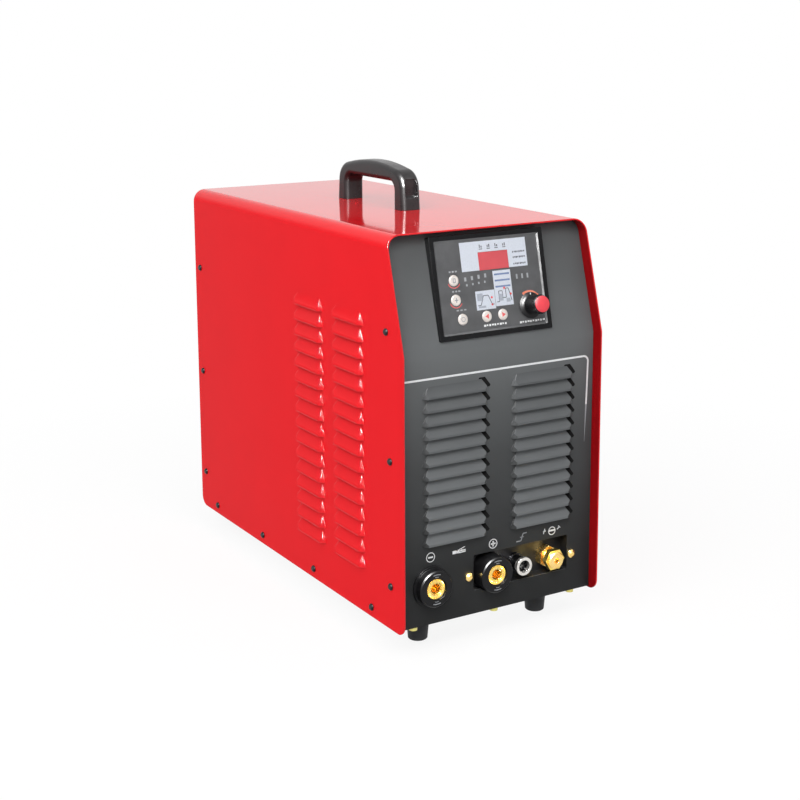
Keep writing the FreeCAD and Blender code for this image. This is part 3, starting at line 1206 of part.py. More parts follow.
def make_ground_bolt():
    z = CASE_BOTTOM + GROUND_H
    inner, nut_back = REAR_FACE - PANEL_T, REAR_FACE + GROUND_HEAD_T
    head = hex_bar(GROUND_X, inner - GROUND_HEAD_T, inner, z, GROUND_HEAD_AF)
    shank = rod(GROUND_X, inner, REAR_FACE + GROUND_L, z, M5_R)
    nut = hex_bar(GROUND_X, REAR_FACE, nut_back, z, GROUND_HEAD_AF)
    nut = nut.cut(rod(GROUND_X, REAR_FACE - PAST, nut_back + PAST, z, M5_R + SHAFT_PLAY))
    keep("ground_bolt", group([joined([head, shank]), nut]))


# ---------------------------------------------------------------- inside
def make_shelf():
    top = CASE_BOTTOM + SHELF_H
    outer = box(-SHELF_HALF_W, SHELF_HALF_W, SHELF_FRONT, SHELF_BACK, FLOOR_Z, top)
    half = SHELF_HALF_W - SHELF_T
    inner = box(-half, half, SHELF_FRONT - PAST, SHELF_BACK + PAST, FLOOR_Z - PAST, top - SHELF_T)
    keep("shelf", outer.cut(inner))


def make_heat_sinks():
    low = CASE_BOTTOM + SHELF_H
    step = (SINK_H - SINK_FIN) / (SINK_FINS - 1)
    x_out, x_in = SINK_OUT_X, SINK_OUT_X - SINK_W
    back = SINK_FRONT + SINK_L
    plate = box(x_out - SINK_BASE, x_out, SINK_FRONT, back, low, low + SINK_H)
    pieces = [plate]
    for i in range(SINK_FINS):
        z = low + i * step
        pieces.append(box(x_in, x_out - SINK_BASE, SINK_FRONT, back, z, z + SINK_FIN))
    right = joined(pieces)
    keep("heat_sink_right", right)
    keep("heat_sink_left", mirrored(right))
    spacing = SINK_L / MODULES
    modules = []
    for i in range(MODULES):
        front = SINK_FRONT + (i + 1 / 2) * spacing - MODULE_L / 2
        module = Part.makeBox(MODULE_T, MODULE_L, MODULE_H, V(x_out, front, low + MODULE_RISE))
        modules += [module, mirrored(module)]
    keep("power_modules", group(modules))


def make_main_board():
    low = CASE_BOTTOM + SHELF_H + SINK_H
    half = SINK_OUT_X
    board_z = low + STANDOFF_H
    middle = SINK_FRONT + SINK_L / 2
    back, top = SINK_FRONT + SINK_L, board_z + BOARD_T
    pieces = [box(-half, half, SINK_FRONT, back, board_z, top)]
    for y in (SINK_FRONT + STANDOFF_END, back - STANDOFF_END):
        for side in (-1, 1):
            pieces.append(post(side * (half - STANDOFF_IN), y, low, board_z, STANDOFF_R))
    relay_x, driver_x = half - RELAY_ASIDE, DRIVER_ASIDE - half
    for x, w, l, h in ((relay_x, RELAY_W, RELAY_L, RELAY_H), (driver_x, DRIVER_T, DRIVER_L, DRIVER_H)):
        pieces.append(box(x - w / 2, x + w / 2, middle - l / 2, middle + l / 2, top, top + h))
    keep("main_board", joined(pieces))
    cans = []
    for sx in (-1, 1):
        for sy in (-1, 1):
            cans.append(post(CAN_X + sx * CAN_SPREAD, middle + sy * CAN_SPREAD, top, top + CAN_H, CAN_R))
    keep("capacitors", group(cans))


def make_transformer():
    half_w, half_d = CORE_W / 2, CORE_D / 2
    low, high = FLOOR_Z, FLOOR_Z + CORE_H
    core = box(CORE_X - half_w, CORE_X + half_w, CORE_BACK - half_d, CORE_BACK + half_d, low, high)
    window = (CORE_W - 3 * CORE_LEG) / 2
    through = (CORE_BACK - half_d - PAST, CORE_BACK + half_d + PAST)
    cuts = []
    for left in (CORE_X - CORE_LEG / 2 - window, CORE_X + CORE_LEG / 2):
        cuts.append(box(left, left + window, *through, low + CORE_LEG, high - CORE_LEG))
    keep("transformer_core", cut_all(core, cuts))
    play = WINDING_PLAY
    coil = (low + CORE_LEG + play, high - CORE_LEG - play)
    ring = winding_block(CORE_LEG / 2 + window - play, half_d + window - play, window - 2 * play, *coil)
    hole = winding_block(CORE_LEG / 2 + play, half_d + play, WINDING_INNER_R, coil[0] - PAST, coil[1] + PAST)
    keep("transformer_winding", ring.cut(hole))


def winding_block(half_w, half_d, radius, z0, z1):
    """Block with rounded upright edges about the transformer's middle leg."""
    ends = ((-half_w, -half_d), (half_w, -half_d), (half_w, half_d), (-half_w, half_d))
    return upright([(CORE_X + x, CORE_BACK + y, radius) for x, y in ends], z0, z1)


def make_chokes():
    low, high, bevel = FLOOR_Z, FLOOR_Z + CHOKE_H, CHOKE_BEVEL
    keep("output_choke", turned_up(CORE_X, CHOKE_BACK, [
        (CHOKE_BORE_R, low), (CHOKE_R - bevel, low), (CHOKE_R, low + bevel), (CHOKE_R, high - bevel),
        (CHOKE_R - bevel, high), (CHOKE_BORE_R, high)]))
    high = low + STARTER_H
    wire_low, wire_high = low + STARTER_CHEEK_T, high - STARTER_CHEEK_T
    keep("starter_coil", turned_up(STARTER_ASIDE - INNER_HALF_W, STARTER_BACK, [
        (STARTER_BORE_R, low), (STARTER_R, low), (STARTER_R, wire_low), (STARTER_WIRE_R, wire_low),
        (STARTER_WIRE_R, wire_high), (STARTER_R, wire_high), (STARTER_R, high), (STARTER_BORE_R, high)]))


# ---------------------------------------------------------------- all pieces
def save_all():
    """Write every piece with the origin under the middle of the whole machine."""
    boxes = [shape.BoundBox for shape in PARTS.values()]
    middle = (min(b.YMin for b in boxes) + max(b.YMax for b in boxes)) / 2
    for name, shape in PARTS.items():
        moved(shape, 0, -middle, 0).exportStep("parts/" + name + ".step")


make_cover()
make_cover_screws()
make_front_panel()
make_rear_panel()
make_base_plate()
make_edge_screws()
make_feet()
make_handle()
make_terminals()
make_tray()
make_control_plug()
make_gas_outlet()
make_bezel()
make_fascia()
make_display()
make_control_board()
make_buttons()
make_encoder()
make_knob()
make_fan()
make_guard()
make_switch()
make_gland()
make_gas_line()
make_ground_bolt()
make_shelf()
make_heat_sinks()
make_main_board()
make_transformer()
make_chokes()
save_all()
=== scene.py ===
"""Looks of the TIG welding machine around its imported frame.

Lengths are in metres. MM turns a length written in millimetres into metres.
"""
import json
import math

import bmesh
import bpy
from mathutils import Matrix, Vector


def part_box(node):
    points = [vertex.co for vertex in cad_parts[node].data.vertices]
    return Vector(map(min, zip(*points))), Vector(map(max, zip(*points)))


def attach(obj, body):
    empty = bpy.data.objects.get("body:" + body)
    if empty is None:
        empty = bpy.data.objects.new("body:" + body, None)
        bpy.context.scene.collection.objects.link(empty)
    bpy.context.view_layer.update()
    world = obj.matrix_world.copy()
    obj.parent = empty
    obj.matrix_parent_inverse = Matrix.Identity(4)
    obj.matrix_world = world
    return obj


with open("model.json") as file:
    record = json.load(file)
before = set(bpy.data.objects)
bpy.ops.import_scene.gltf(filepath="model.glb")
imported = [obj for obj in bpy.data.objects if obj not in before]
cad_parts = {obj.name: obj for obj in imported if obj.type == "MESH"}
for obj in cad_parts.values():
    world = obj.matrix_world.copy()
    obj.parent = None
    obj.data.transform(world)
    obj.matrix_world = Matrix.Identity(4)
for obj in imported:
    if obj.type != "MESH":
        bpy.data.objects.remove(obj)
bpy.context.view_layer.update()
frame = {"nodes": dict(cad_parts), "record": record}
MM = 0.001


# ---------------------------------------------------------------- places read from the frame
def middle(node):
    low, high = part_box(node)
    return (low + high) / 2


CASE_LOW, CASE_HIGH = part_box("cover")
PANEL_SHEET = 1.2 * MM
PANEL_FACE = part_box("terminal_tray")[0].y - PANEL_SHEET    # front of the grey panel
PRINT_T = 0.06 * MM                                         # printed ink
UNIT_TILT = math.radians(12.5)                              # lean of the control unit
FASCIA_INSET = 5.2 * MM                                     # fascia's lower edge above the unit's origin
FASCIA_T = 1.5 * MM
SOCKET_AXIS_Z = middle("minus_socket").z
LOUVRE_HEIGHTS = (CASE_LOW.z + 85 * MM, CASE_LOW.z + 248 * MM)    # lowest and highest edge of the front louvres
SHARP_ANGLE = 30.0                                          # degrees; sharper edges stay sharp


def unit_matrix():
    """Frame of the control unit: x across, y into the machine, z up its face; origin on the fascia's face."""
    low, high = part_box("fascia")
    y = low.y - FASCIA_INSET * math.sin(UNIT_TILT)
    z = low.z + FASCIA_T * math.sin(UNIT_TILT) - FASCIA_INSET * math.cos(UNIT_TILT)
    turn = Matrix.Rotation(-UNIT_TILT, 4, "X")
    return Matrix.Translation(Vector((0, y, z))) @ turn


UNIT = unit_matrix()


# ---------------------------------------------------------------- materials
class Nodes:
    """Shorthand for building one node tree; spaces in socket names are written as underscores."""

    def __init__(self, name):
        self.material = bpy.data.materials.new(name)
        self.material.use_nodes = True
        self.tree = self.material.node_tree
        self.shader = self.tree.nodes["Principled BSDF"]
        self.place = self.tree.nodes.new("ShaderNodeTexCoord").outputs["Object"]

    def add(self, kind, **inputs):
        node = self.tree.nodes.new(kind)
        for name, value in inputs.items():
            self.set(node, name, value)
        return node

    def set(self, node, name, value):
        socket = node.inputs[name.replace("_", " ")]
        if isinstance(value, bpy.types.NodeSocket):
            self.tree.links.new(value, socket)
        else:
            socket.default_value = value

    def math(self, operation, first, second=None):
        node = self.add("ShaderNodeMath", Value=first)
        node.operation = operation
        if second is not None:
            self.tree.links.new(second, node.inputs[1])
        return node.outputs[0]

    def parts(self, vector):
        """The x, y and z outputs of a vector."""
        return self.add("ShaderNodeSeparateXYZ", Vector=vector).outputs

    def true_normal(self):
        return self.tree.nodes.new("ShaderNodeNewGeometry").outputs["True Normal"]

    def rounded(self, radius, samples):
        """Normal of the surface with its edges rounded off."""
        bevel = self.add("ShaderNodeBevel", Radius=radius)
        bevel.samples = samples
        return bevel.outputs[0]

    def noise(self, scale, detail=2.0, stretch=(1, 1, 1)):
        mapping = self.add("ShaderNodeMapping", Vector=self.place, Scale=stretch)
        return self.add("ShaderNodeTexNoise", Vector=mapping.outputs[0], Scale=scale, Detail=detail).outputs["Fac"]

    def spread(self, fac, low, high, start=0.3, end=0.7):
        """fac from start to end becomes low to high."""
        node = self.add("ShaderNodeMapRange", Value=fac, From_Min=start, From_Max=end, To_Min=low, To_Max=high)
        return node.outputs[0]

    def mix(self, fac, first, second):
        node = self.tree.nodes.new("ShaderNodeMix")
        node.data_type = "RGBA"
        for socket, value in ((node.inputs[0], fac), (node.inputs[6], first), (node.inputs[7], second)):
            if isinstance(value, bpy.types.NodeSocket):
                self.tree.links.new(value, socket)
            else:
                socket.default_value = value if isinstance(value, float) else (*value, 1)
        return node.outputs[2]

    def bump(self, height, strength, distance=0.1 * MM, edge=0.0):
        inputs = {"Height": height, "Strength": strength, "Distance": distance}
        if edge:
            inputs["Normal"] = self.rounded(edge, 6)
        self.set(self.shader, "Normal", self.add("ShaderNodeBump", **inputs).outputs[0])


def shade(color, share):
    return tuple(channel * share for channel in color)


def painted(name, color, rough, grain, grain_depth=0.05, metallic=0.0, ior=1.3):
    """Powder-coated or blacked metal: faint cloudiness, fine grain and softly rounded edges."""
    n = Nodes(name)
    cloud = n.noise(14.0, 3.0)
    n.set(n.shader, "Base_Color", n.mix(n.spread(cloud, 0.0, 1.0), shade(color, 0.94), shade(color, 1.06)))
    n.set(n.shader, "Roughness", n.spread(n.noise(40.0, 4.0), rough * 0.9, rough * 1.12))
    n.set(n.shader, "Metallic", metallic)
    n.set(n.shader, "IOR", ior)
    n.bump(n.noise(grain, 2.0), grain_depth, edge=0.35 * MM)
    return n.material


def red_paint():
    """Sprayed red, with painted shade on the faces inside the cover; its clear coat shines on the louvres' front ends,
    the bends and the top.
    """
    n = Nodes("red_paint")
    cloud = n.spread(n.noise(14.0, 3.0), 0.0, 1.0)
    # Painted shade: faces that turn into the cover get the red at 0.32 of its colour, standing in for the shade inside
    # it.
    across = n.parts(n.place)[0]
    outward = n.math("MULTIPLY", n.parts(n.true_normal())[0], across)
    unshaded_outside = n.spread(outward, 0.0, 1.0, -0.06, -0.02)
    coat = n.mix(cloud, shade(RED, 0.985), shade(RED, 1.015))
    n.set(n.shader, "Base_Color", n.mix(unshaded_outside, shade(RED, 0.32), coat))
    n.set(n.shader, "Roughness", n.spread(n.noise(40.0, 4.0), 0.10, 0.14))
    n.set(n.shader, "IOR", 1.08)
    rounded = n.rounded(1.2 * MM, 8)
    n.set(n.shader, "Normal", rounded)
    n.set(n.shader, "Coat_Normal", rounded)
    facing = n.parts(rounded)
    bent = n.spread(n.math("ABSOLUTE", facing[0]), 1.0, 0.0, 0.84, 0.97)
    forward = n.spread(facing[1], 1.0, 0.68, -0.30, -0.05)
    n.set(n.shader, "Coat_Weight", n.math("MULTIPLY", bent, forward))
    n.set(n.shader, "Coat_Roughness", 0.05)
    n.set(n.shader, "Coat_IOR", 1.265)
    return n.material


def front_paint():
    """Satin grey of the front panel with painted light and shade: painted light at the fold, painted shade nearly black
    at the foot and in its recesses, and painted light on the louvre hoods.
    """
    n = Nodes("front_paint")
    depth, height = n.parts(n.place)[1:]
    # Painted light and shade by height: the grey is lightest near the fold, darker again above it and nearly black at
    # the foot.
    tone = n.tree.nodes.new("ShaderNodeValToRGB")
    n.set(tone, "Fac", n.spread(height, 0.0, 1.0, CASE_LOW.z, CASE_HIGH.z))
    ramp = tone.color_ramp
    while len(ramp.elements) < len(FRONT_PAINTED_LIGHT_TONES):
        ramp.elements.new(1.0)
    for element, (place, level) in zip(ramp.elements, FRONT_PAINTED_LIGHT_TONES):
        element.position = place
        element.color = (level * 0.95, level, level * 1.03, 1)
    # Painted shade: the grey goes to near black where the ambient occlusion node finds recesses, such as under the
    # louvre lips.
    painted_recess_shade = n.tree.nodes.new("ShaderNodeAmbientOcclusion")
    painted_recess_shade.samples = 8
    painted_recess_shade.inputs["Distance"].default_value = 7.0 * MM
    # Painted light: the upward-sloping faces and proud parts of the louvre hoods get a lighter grey, while their side
    # cheeks keep the panel grey.
    normal = n.parts(n.true_normal())
    sloping = n.spread(normal[2], 0.0, 1.0, 0.31, 0.38)
    proud = n.spread(depth, 1.0, 0.0, PANEL_FACE - 0.9 * MM, PANEL_FACE - 0.3 * MM)
    straight = n.spread(n.math("ABSOLUTE", normal[0]), 1.0, 0.0, 0.10, 0.30)
    hood = n.math("MULTIPLY", n.math("MAXIMUM", sloping, proud), straight)
    hood_painted_light = n.mix(n.spread(height, 0.0, 1.0, *LOUVRE_HEIGHTS), HOOD_PAINTED_LIGHT_LOW, HOOD_PAINTED_LIGHT_HIGH)
    body = n.mix(hood, tone.outputs[0], hood_painted_light)
    # Share that is free of the painted recess shade.
    unshaded_share = n.spread(painted_recess_shade.outputs["AO"], 0.0, 1.0, 0.15, 0.60)
    n.set(n.shader, "Base_Color", n.mix(unshaded_share, (0.004, 0.004, 0.005), body))
    n.set(n.shader, "Roughness", n.spread(n.noise(40.0, 4.0), 0.38, 0.46))
    n.set(n.shader, "IOR", 1.22)
    n.bump(n.noise(2200.0, 2.0), 0.25, edge=0.35 * MM)
    return n.material


def metal(name, color, second, rough, streaks=(1, 1, 1), scale=300.0):
    """Machined or plated metal whose colour wanders between two tones."""
    n = Nodes(name)
    n.set(n.shader, "Base_Color", n.mix(n.spread(n.noise(120.0, 4.0), 0.0, 1.0), color, second))
    n.set(n.shader, "Metallic", 1.0)
    n.set(n.shader, "Roughness", n.spread(n.noise(scale, 3.0, streaks), rough * 0.75, rough * 1.3))
    n.bump(n.noise(scale, 2.0, streaks), 0.12, edge=0.2 * MM)
    return n.material


def plated_ring(name, front, ring_l):
    """Bright plating on a plug's front ring, with painted shade making the barrel behind it near black."""
    n = Nodes(name)
    depth = n.parts(n.place)[1]
    bright = n.mix(n.spread(n.noise(120.0, 4.0), 0.0, 1.0), *NICKEL_TONES)
    behind = n.spread(depth, 0.0, 1.0, front + ring_l, front + ring_l + 0.4 * MM)
    # Painted shade: behind the front ring the barrel is painted near black.
    n.set(n.shader, "Base_Color", n.mix(behind, bright, (0.035, 0.035, 0.037)))
    n.set(n.shader, "Metallic", 1.0)
    n.set(n.shader, "Roughness", n.spread(n.noise(300.0, 3.0), 0.20, 0.32))
    n.bump(n.noise(300.0, 2.0), 0.12, edge=0.2 * MM)
    return n.material


def moulded(name, color, rough, grain=1500.0, depth=0.2, edge=0.4 * MM, sheen=0.0, coat=0.0, ior=1.35):
    """Moulded plastic or rubber: fine spark-eroded grain with a slightly uneven shine."""
    n = Nodes(name)
    cloud = n.spread(n.noise(60.0, 4.0), 0.0, 1.0)
    n.set(n.shader, "Base_Color", n.mix(cloud, shade(color, 0.86), shade(color, 1.14)))
    n.set(n.shader, "Roughness", n.spread(n.noise(90.0, 4.0), rough * 0.85, rough * 1.15))
    n.set(n.shader, "IOR", ior)
    n.set(n.shader, "Sheen_Weight", sheen)
    n.set(n.shader, "Coat_Weight", coat)
    n.set(n.shader, "Coat_Roughness", 0.12)
    n.bump(n.noise(grain, 2.0), depth, edge=edge)
    return n.material


def wound(name, color, pitch, direction):
    """Enamelled copper wire as a ribbed bump, with painted shade darkening the grooves; the ribs lie tau times pitch
    apart.
    """
    n = Nodes(name)
    wave = n.tree.nodes.new("ShaderNodeTexWave")
    wave.bands_direction = direction
    n.set(wave, "Vector", n.place)
    n.set(wave, "Scale", WAVE_PERIOD / (math.tau * pitch))
    n.set(wave, "Distortion", 0.6)
    ridge = wave.outputs["Fac"]
    # Painted shade: the grooves between the turns are darkened to a quarter of the wire's colour.
    n.set(n.shader, "Base_Color", n.mix(ridge, shade(color, 0.25), color))
    n.set(n.shader, "Metallic", 0.85)
    n.set(n.shader, "Roughness", n.spread(n.noise(200.0), 0.25, 0.4))
    n.bump(ridge, 0.8, 0.4 * MM)
    return n.material


def board(name):
    """Green solder mask with lighter tracks and tinned spots."""
    n = Nodes(name)
    tracks = n.add("ShaderNodeTexBrick", Vector=n.place, Scale=90.0, Mortar_Size=0.06, Mortar_Smooth=0.2)
    cells = n.add("ShaderNodeTexVoronoi", Vector=n.place, Scale=260.0)
    mask = n.mix(tracks.outputs["Fac"], (0.012, 0.09, 0.035), (0.03, 0.2, 0.07))
    spots = n.spread(cells.outputs["Distance"], 1.0, 0.0, 0.12, 0.16)
    n.set(n.shader, "Base_Color", n.mix(spots, mask, (0.6, 0.6, 0.58)))
    n.set(n.shader, "Metallic", spots)
    n.set(n.shader, "Roughness", n.spread(n.noise(150.0), 0.3, 0.45))
    n.bump(tracks.outputs["Fac"], 0.2)
    return n.material


def tinted(name, color):
    """Tinted plastic over a display; opaque, since nothing behind it shows."""
    n = Nodes(name)
    n.set(n.shader, "Base_Color", n.mix(n.spread(n.noise(40.0), 0.0, 1.0), shade(color, 0.92), shade(color, 1.05)))
    n.set(n.shader, "Roughness", n.spread(n.noise(200.0), 0.08, 0.14))
    n.set(n.shader, "Coat_Weight", 0.5)
    n.bump(n.noise(30.0), 0.02)
    return n.material


def ink(name, color, rough=0.5):
    """Screen-printed ink, slightly uneven in cover."""
    n = Nodes(name)
    n.set(n.shader, "Base_Color", n.mix(n.spread(n.noise(900.0, 4.0), 0.0, 1.0), shade(color, 0.86), color))
    n.set(n.shader, "Roughness", n.spread(n.noise(300.0), rough * 0.8, rough * 1.2))
    n.bump(n.noise(2500.0), 0.1)
    return n.material


RED = (0.765, 0.0115, 0.0175)
# Painted light and shade of the front panel by height, as (share of the height, grey level).
FRONT_PAINTED_LIGHT_TONES = ((0.0, 0.014), (0.14, 0.020), (0.42, 0.058), (0.70, 0.135), (0.84, 0.100), (1.0, 0.068))  # by height
# Painted light on the louvre hoods: lighter grey at the lowest louvres, less light at the highest.
HOOD_PAINTED_LIGHT_LOW, HOOD_PAINTED_LIGHT_HIGH = (0.134, 0.142, 0.147), (0.092, 0.097, 0.101)
NICKEL_TONES = (0.62, 0.60, 0.56), (0.74, 0.72, 0.69)
WAVE_PERIOD = 0.314                                         # metres between the bands of a wave texture of scale 1
MATERIALS = {
    "red_paint": red_paint(),
    "grey_paint": painted("grey_paint", (0.062, 0.067, 0.070), 0.42, grain=2200.0, grain_depth=0.25, ior=1.25),
    "plain_steel": metal("plain_steel", (0.50, 0.50, 0.49), (0.62, 0.62, 0.60), 0.38, streaks=(1, 12, 1)),
    "black_screw": painted("black_screw", (0.012, 0.012, 0.013), 0.32, grain=3000.0, metallic=0.4),
    "yellow_zinc": metal("yellow_zinc", (0.70, 0.52, 0.16), (0.62, 0.66, 0.24), 0.3),
    "foot_rubber": moulded("foot_rubber", (0.020, 0.021, 0.023), 0.62, depth=0.4, sheen=0.1),
    "handle_plastic": moulded("handle_plastic", (0.010, 0.008, 0.009), 0.30, grain=1800.0, depth=0.15, edge=0.8 * MM,
                              ior=1.4),
    "socket_plastic": moulded("socket_plastic", (0.003, 0.003, 0.004), 0.34, depth=0.1, ior=1.28),
    "brass": metal("brass", (0.86, 0.56, 0.16), (0.92, 0.68, 0.28), 0.24),
    "copper": metal("copper", (0.72, 0.36, 0.20), (0.80, 0.46, 0.28), 0.30),
    "nickel": metal("nickel", *NICKEL_TONES, 0.22),
    "bezel_plastic": moulded("bezel_plastic", (0.004, 0.004, 0.005), 0.24, depth=0.1, edge=0.8 * MM, ior=1.24),
    "fascia_film": moulded("fascia_film", (0.085, 0.086, 0.090), 0.42, grain=2600.0, edge=0.1 * MM, ior=1.25),
    "red_lens": tinted("red_lens", (0.62, 0.055, 0.070)),
    "circuit_board": board("circuit_board"),
    "button_white": moulded("button_white", (0.72, 0.66, 0.62), 0.35, depth=0.1),
    "knob_black": moulded("knob_black", (0.004, 0.004, 0.005), 0.36, depth=0.3, ior=1.26),
    "knob_red": moulded("knob_red", (0.80, 0.045, 0.065), 0.38, depth=0.1),
    "fan_black": moulded("fan_black", (0.016, 0.016, 0.017), 0.45),
    "chrome_wire": metal("chrome_wire", (0.66, 0.66, 0.66), (0.78, 0.78, 0.78), 0.18),
    "switch_plastic": moulded("switch_plastic", (0.56, 0.56, 0.53), 0.42),
    "lever_black": moulded("lever_black", (0.015, 0.015, 0.016), 0.4),
    "hose": moulded("hose", (0.02, 0.02, 0.022), 0.5, grain=500.0, depth=0.3),
    "heat_sink": metal("heat_sink", (0.60, 0.61, 0.62), (0.70, 0.71, 0.72), 0.4, streaks=(1, 0.05, 1), scale=800.0),
    "capacitor_sleeve": moulded("capacitor_sleeve", (0.02, 0.035, 0.10), 0.25, coat=0.4),
    "ferrite": moulded("ferrite", (0.04, 0.04, 0.042), 0.6, grain=700.0, depth=0.4),
}
OWN_FINISH = {                                              # nodes that look unlike the rest of their slot
    "front_panel": front_paint(),
    "terminal_tray": moulded("tray_plastic", (0.003, 0.003, 0.004), 0.45, depth=0.1, ior=1.3),
    "control_plug_shell": plated_ring("plug_ring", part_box("control_plug_shell")[0].y, 4.0 * MM),
    "transformer_winding": wound("wire_transformer", (0.70, 0.32, 0.14), 2.0 * MM, "Z"),
    "output_choke": wound("wire_choke", (0.72, 0.36, 0.16), 2.5 * MM, "X"),
    "starter_coil": wound("wire_starter", (0.70, 0.34, 0.15), 1.2 * MM, "Z"),
}
# Inks and finishes of the pieces made here.
INK_WHITE = ink("ink_white", (0.74, 0.75, 0.76))
INK_PALE = ink("ink_pale", (0.62, 0.66, 0.74), 0.35)
INK_FAINT = ink("ink_faint", (0.36, 0.39, 0.46), 0.4)
INK_GREY = ink("ink_grey", (0.26, 0.27, 0.29))
INK_DARK = ink("ink_dark", (0.06, 0.065, 0.09))
INK_RED = ink("ink_red", (0.72, 0.03, 0.025))
INK_ORANGE = ink("ink_orange", (0.80, 0.14, 0.035))
# Near-black for the painted shadows beside the front louvres.
PAINTED_SHADOW_BLACK = moulded("painted_shadow_black", (0.001, 0.001, 0.001), 0.7, depth=0.1, edge=0.02 * MM, ior=1.12)
INK_BLUE = ink("ink_blue", (0.10, 0.16, 0.34))
# Light grey painted reflection for the sloping inner edge of the black frame.
BEZEL_SLOPE_PAINTED_REFLECTION = moulded("bezel_slope_painted_reflection", (0.10, 0.102, 0.106), 0.22, depth=0.05, edge=0.2 * MM, ior=1.55)
RIM_BRASS = metal("rim_brass", (0.95, 0.74, 0.20), (0.90, 0.62, 0.14), 0.22)


def smooth(obj, degrees=SHARP_ANGLE):
    """Smooth shading that keeps edges sharper than this angle, and flat faces flat."""
    obj.data.shade_smooth()
    split = obj.modifiers.new("sharp_edges", "EDGE_SPLIT")
    split.split_angle = math.radians(degrees)
    weighted = obj.modifiers.new("flat_faces", "WEIGHTED_NORMAL")
    weighted.mode = "FACE_AREA"
    weighted.weight = 100


def dress_nodes():
    """Gives each CAD node its slot's material or its own finish, and smooth shading."""
    slots = {part["node"]: part["material_slot"] for part in frame["record"]["subparts"]}
    for name, obj in frame["nodes"].items():
        obj.data.materials.clear()
        obj.data.materials.append(OWN_FINISH.get(name, MATERIALS[slots[name]]))
        weld = obj.modifiers.new("weld", "WELD")
        weld.merge_threshold = 0.001 * MM
        smooth(obj)


dress_nodes()


# ---------------------------------------------------------------- pieces
def piece(name, mesh, material, matrix, body="root"):
    """A named piece that rides on a body, with the finish that is given to it."""
    mesh.transform(matrix)
    obj = bpy.data.objects.new(name, mesh)
    bpy.context.scene.collection.objects.link(obj)
    mesh.materials.append(material)
    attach(obj, body)
    return obj


def finished(bm, name):
    """The bmesh as a mesh with its double points merged and its normals outward."""
    bmesh.ops.remove_doubles(bm, verts=bm.verts, dist=0.0001 * MM)
    bmesh.ops.recalc_face_normals(bm, faces=bm.faces)
    mesh = bpy.data.meshes.new(name)
    bm.to_mesh(mesh)
    bm.free()
    return mesh


def add_plate(bm, outline, hole, thickness, depth):
    """Flat plate in the x-z plane, its front at -depth-thickness; hole has as many points as outline."""
    front, back = -depth - thickness, -depth
    rings = []
    for points in (outline, hole):
        if points:
            rings.append([[bm.verts.new((x, y, z)) for x, z in points] for y in (front, back)])
    count = len(outline)
    for i in range(count):
        j = (i + 1) % count
        for ring in rings:
            bm.faces.new((ring[0][i], ring[0][j], ring[1][j], ring[1][i]))
        if hole:
            for level in (0, 1):
                bm.faces.new((rings[0][level][i], rings[0][level][j], rings[1][level][j], rings[1][level][i]))
    if not hole:
        bm.faces.new(rings[0][0])
        bm.faces.new(rings[0][1])


def rectangle(x0, x1, z0, z1):
    return [(x0, z0), (x1, z0), (x1, z1), (x0, z1)]


def circle(x, z, radius, count=40, start=0.0, end=math.tau):
    """Points of a circle, or of an arc that includes both of its ends."""
    step = (end - start) / (count if end - start >= math.tau else count - 1)
    return [(x + radius * math.cos(start + i * step), z + radius * math.sin(start + i * step)) for i in range(count)]


def arc(radius, start, end, count, x=0.0, z=0.0):
    """Points of an arc between two angles in degrees."""
    return circle(x, z, radius, count, math.radians(start), math.radians(end))


def band(points, width):
    """Closed outline of a line of this width along the points."""
    left, right = [], []
    for i, (x, z) in enumerate(points):
        before = points[max(i - 1, 0)]
        after = points[min(i + 1, len(points) - 1)]
        along_x, along_z = after[0] - before[0], after[1] - before[1]
        length = math.hypot(along_x, along_z)
        nx, nz = -along_z / length * width / 2, along_x / length * width / 2
        left.append((x + nx, z + nz))
        right.append((x - nx, z - nz))
    return left + right[::-1]


def printed(name, shapes, material, matrix, thickness=PRINT_T, depth=0.0):
    """Plates or ink marks: shapes holds outlines, or (outline, hole) pairs, in millimetres."""
    bm = bmesh.new()
    for shape in shapes:
        outline, hole = shape if isinstance(shape, tuple) else (shape, None)
        scaled = [(x * MM, z * MM) for x, z in outline]
        inner = [(x * MM, z * MM) for x, z in hole] if hole else None
        add_plate(bm, scaled, inner, thickness, depth)
    return piece(name, finished(bm, name), material, matrix)


def on_panel(x, z):
    """Matrix that puts a piece on the grey panel's face at a point given in metres."""
    return Matrix.Translation(Vector((x, PANEL_FACE, z)))


# ---------------------------------------------------------------- marks on the grey panel
SYMBOL_RISE = 29.9 * MM            # symbols above the sockets' axis
CLAMP_SYMBOL_X = 34.2 * MM         # clamp symbol beside the minus socket
STRIPE_Z = CASE_LOW.z + 255.7 * MM
STRIPE_W = 2.0                     # millimetres, as in all outlines
CORNER_R = 5.8
LOUVRE_COLUMN_X = 53.0
LOUVRE_PITCH = 13.75
LOUVRE_ROWS = 12


def make_stripe():
    """Light line under the control unit that turns down along the right edge and thins out."""
    line = [(-112.7, 0)] + circle(106.0, -CORNER_R, CORNER_R, 10, math.pi / 2, 0.0)
    outline = band(line + [(111.6, -12), (111.1, -30), (110.3, -52)], STRIPE_W)
    printed("panel_stripe", [outline], INK_WHITE, on_panel(0, STRIPE_Z))
    end = [(111.3, -52.1), (110.0, -72), (108.8, -92), (108.6, -92), (109.0, -72), (109.3, -52.1)]
    printed("panel_stripe_end", [end], INK_GREY, on_panel(0, STRIPE_Z))


def ring_outline(radius, width):
    """Outline and hole of a printed ring."""
    return circle(0, 0, radius), circle(0, 0, radius - width)


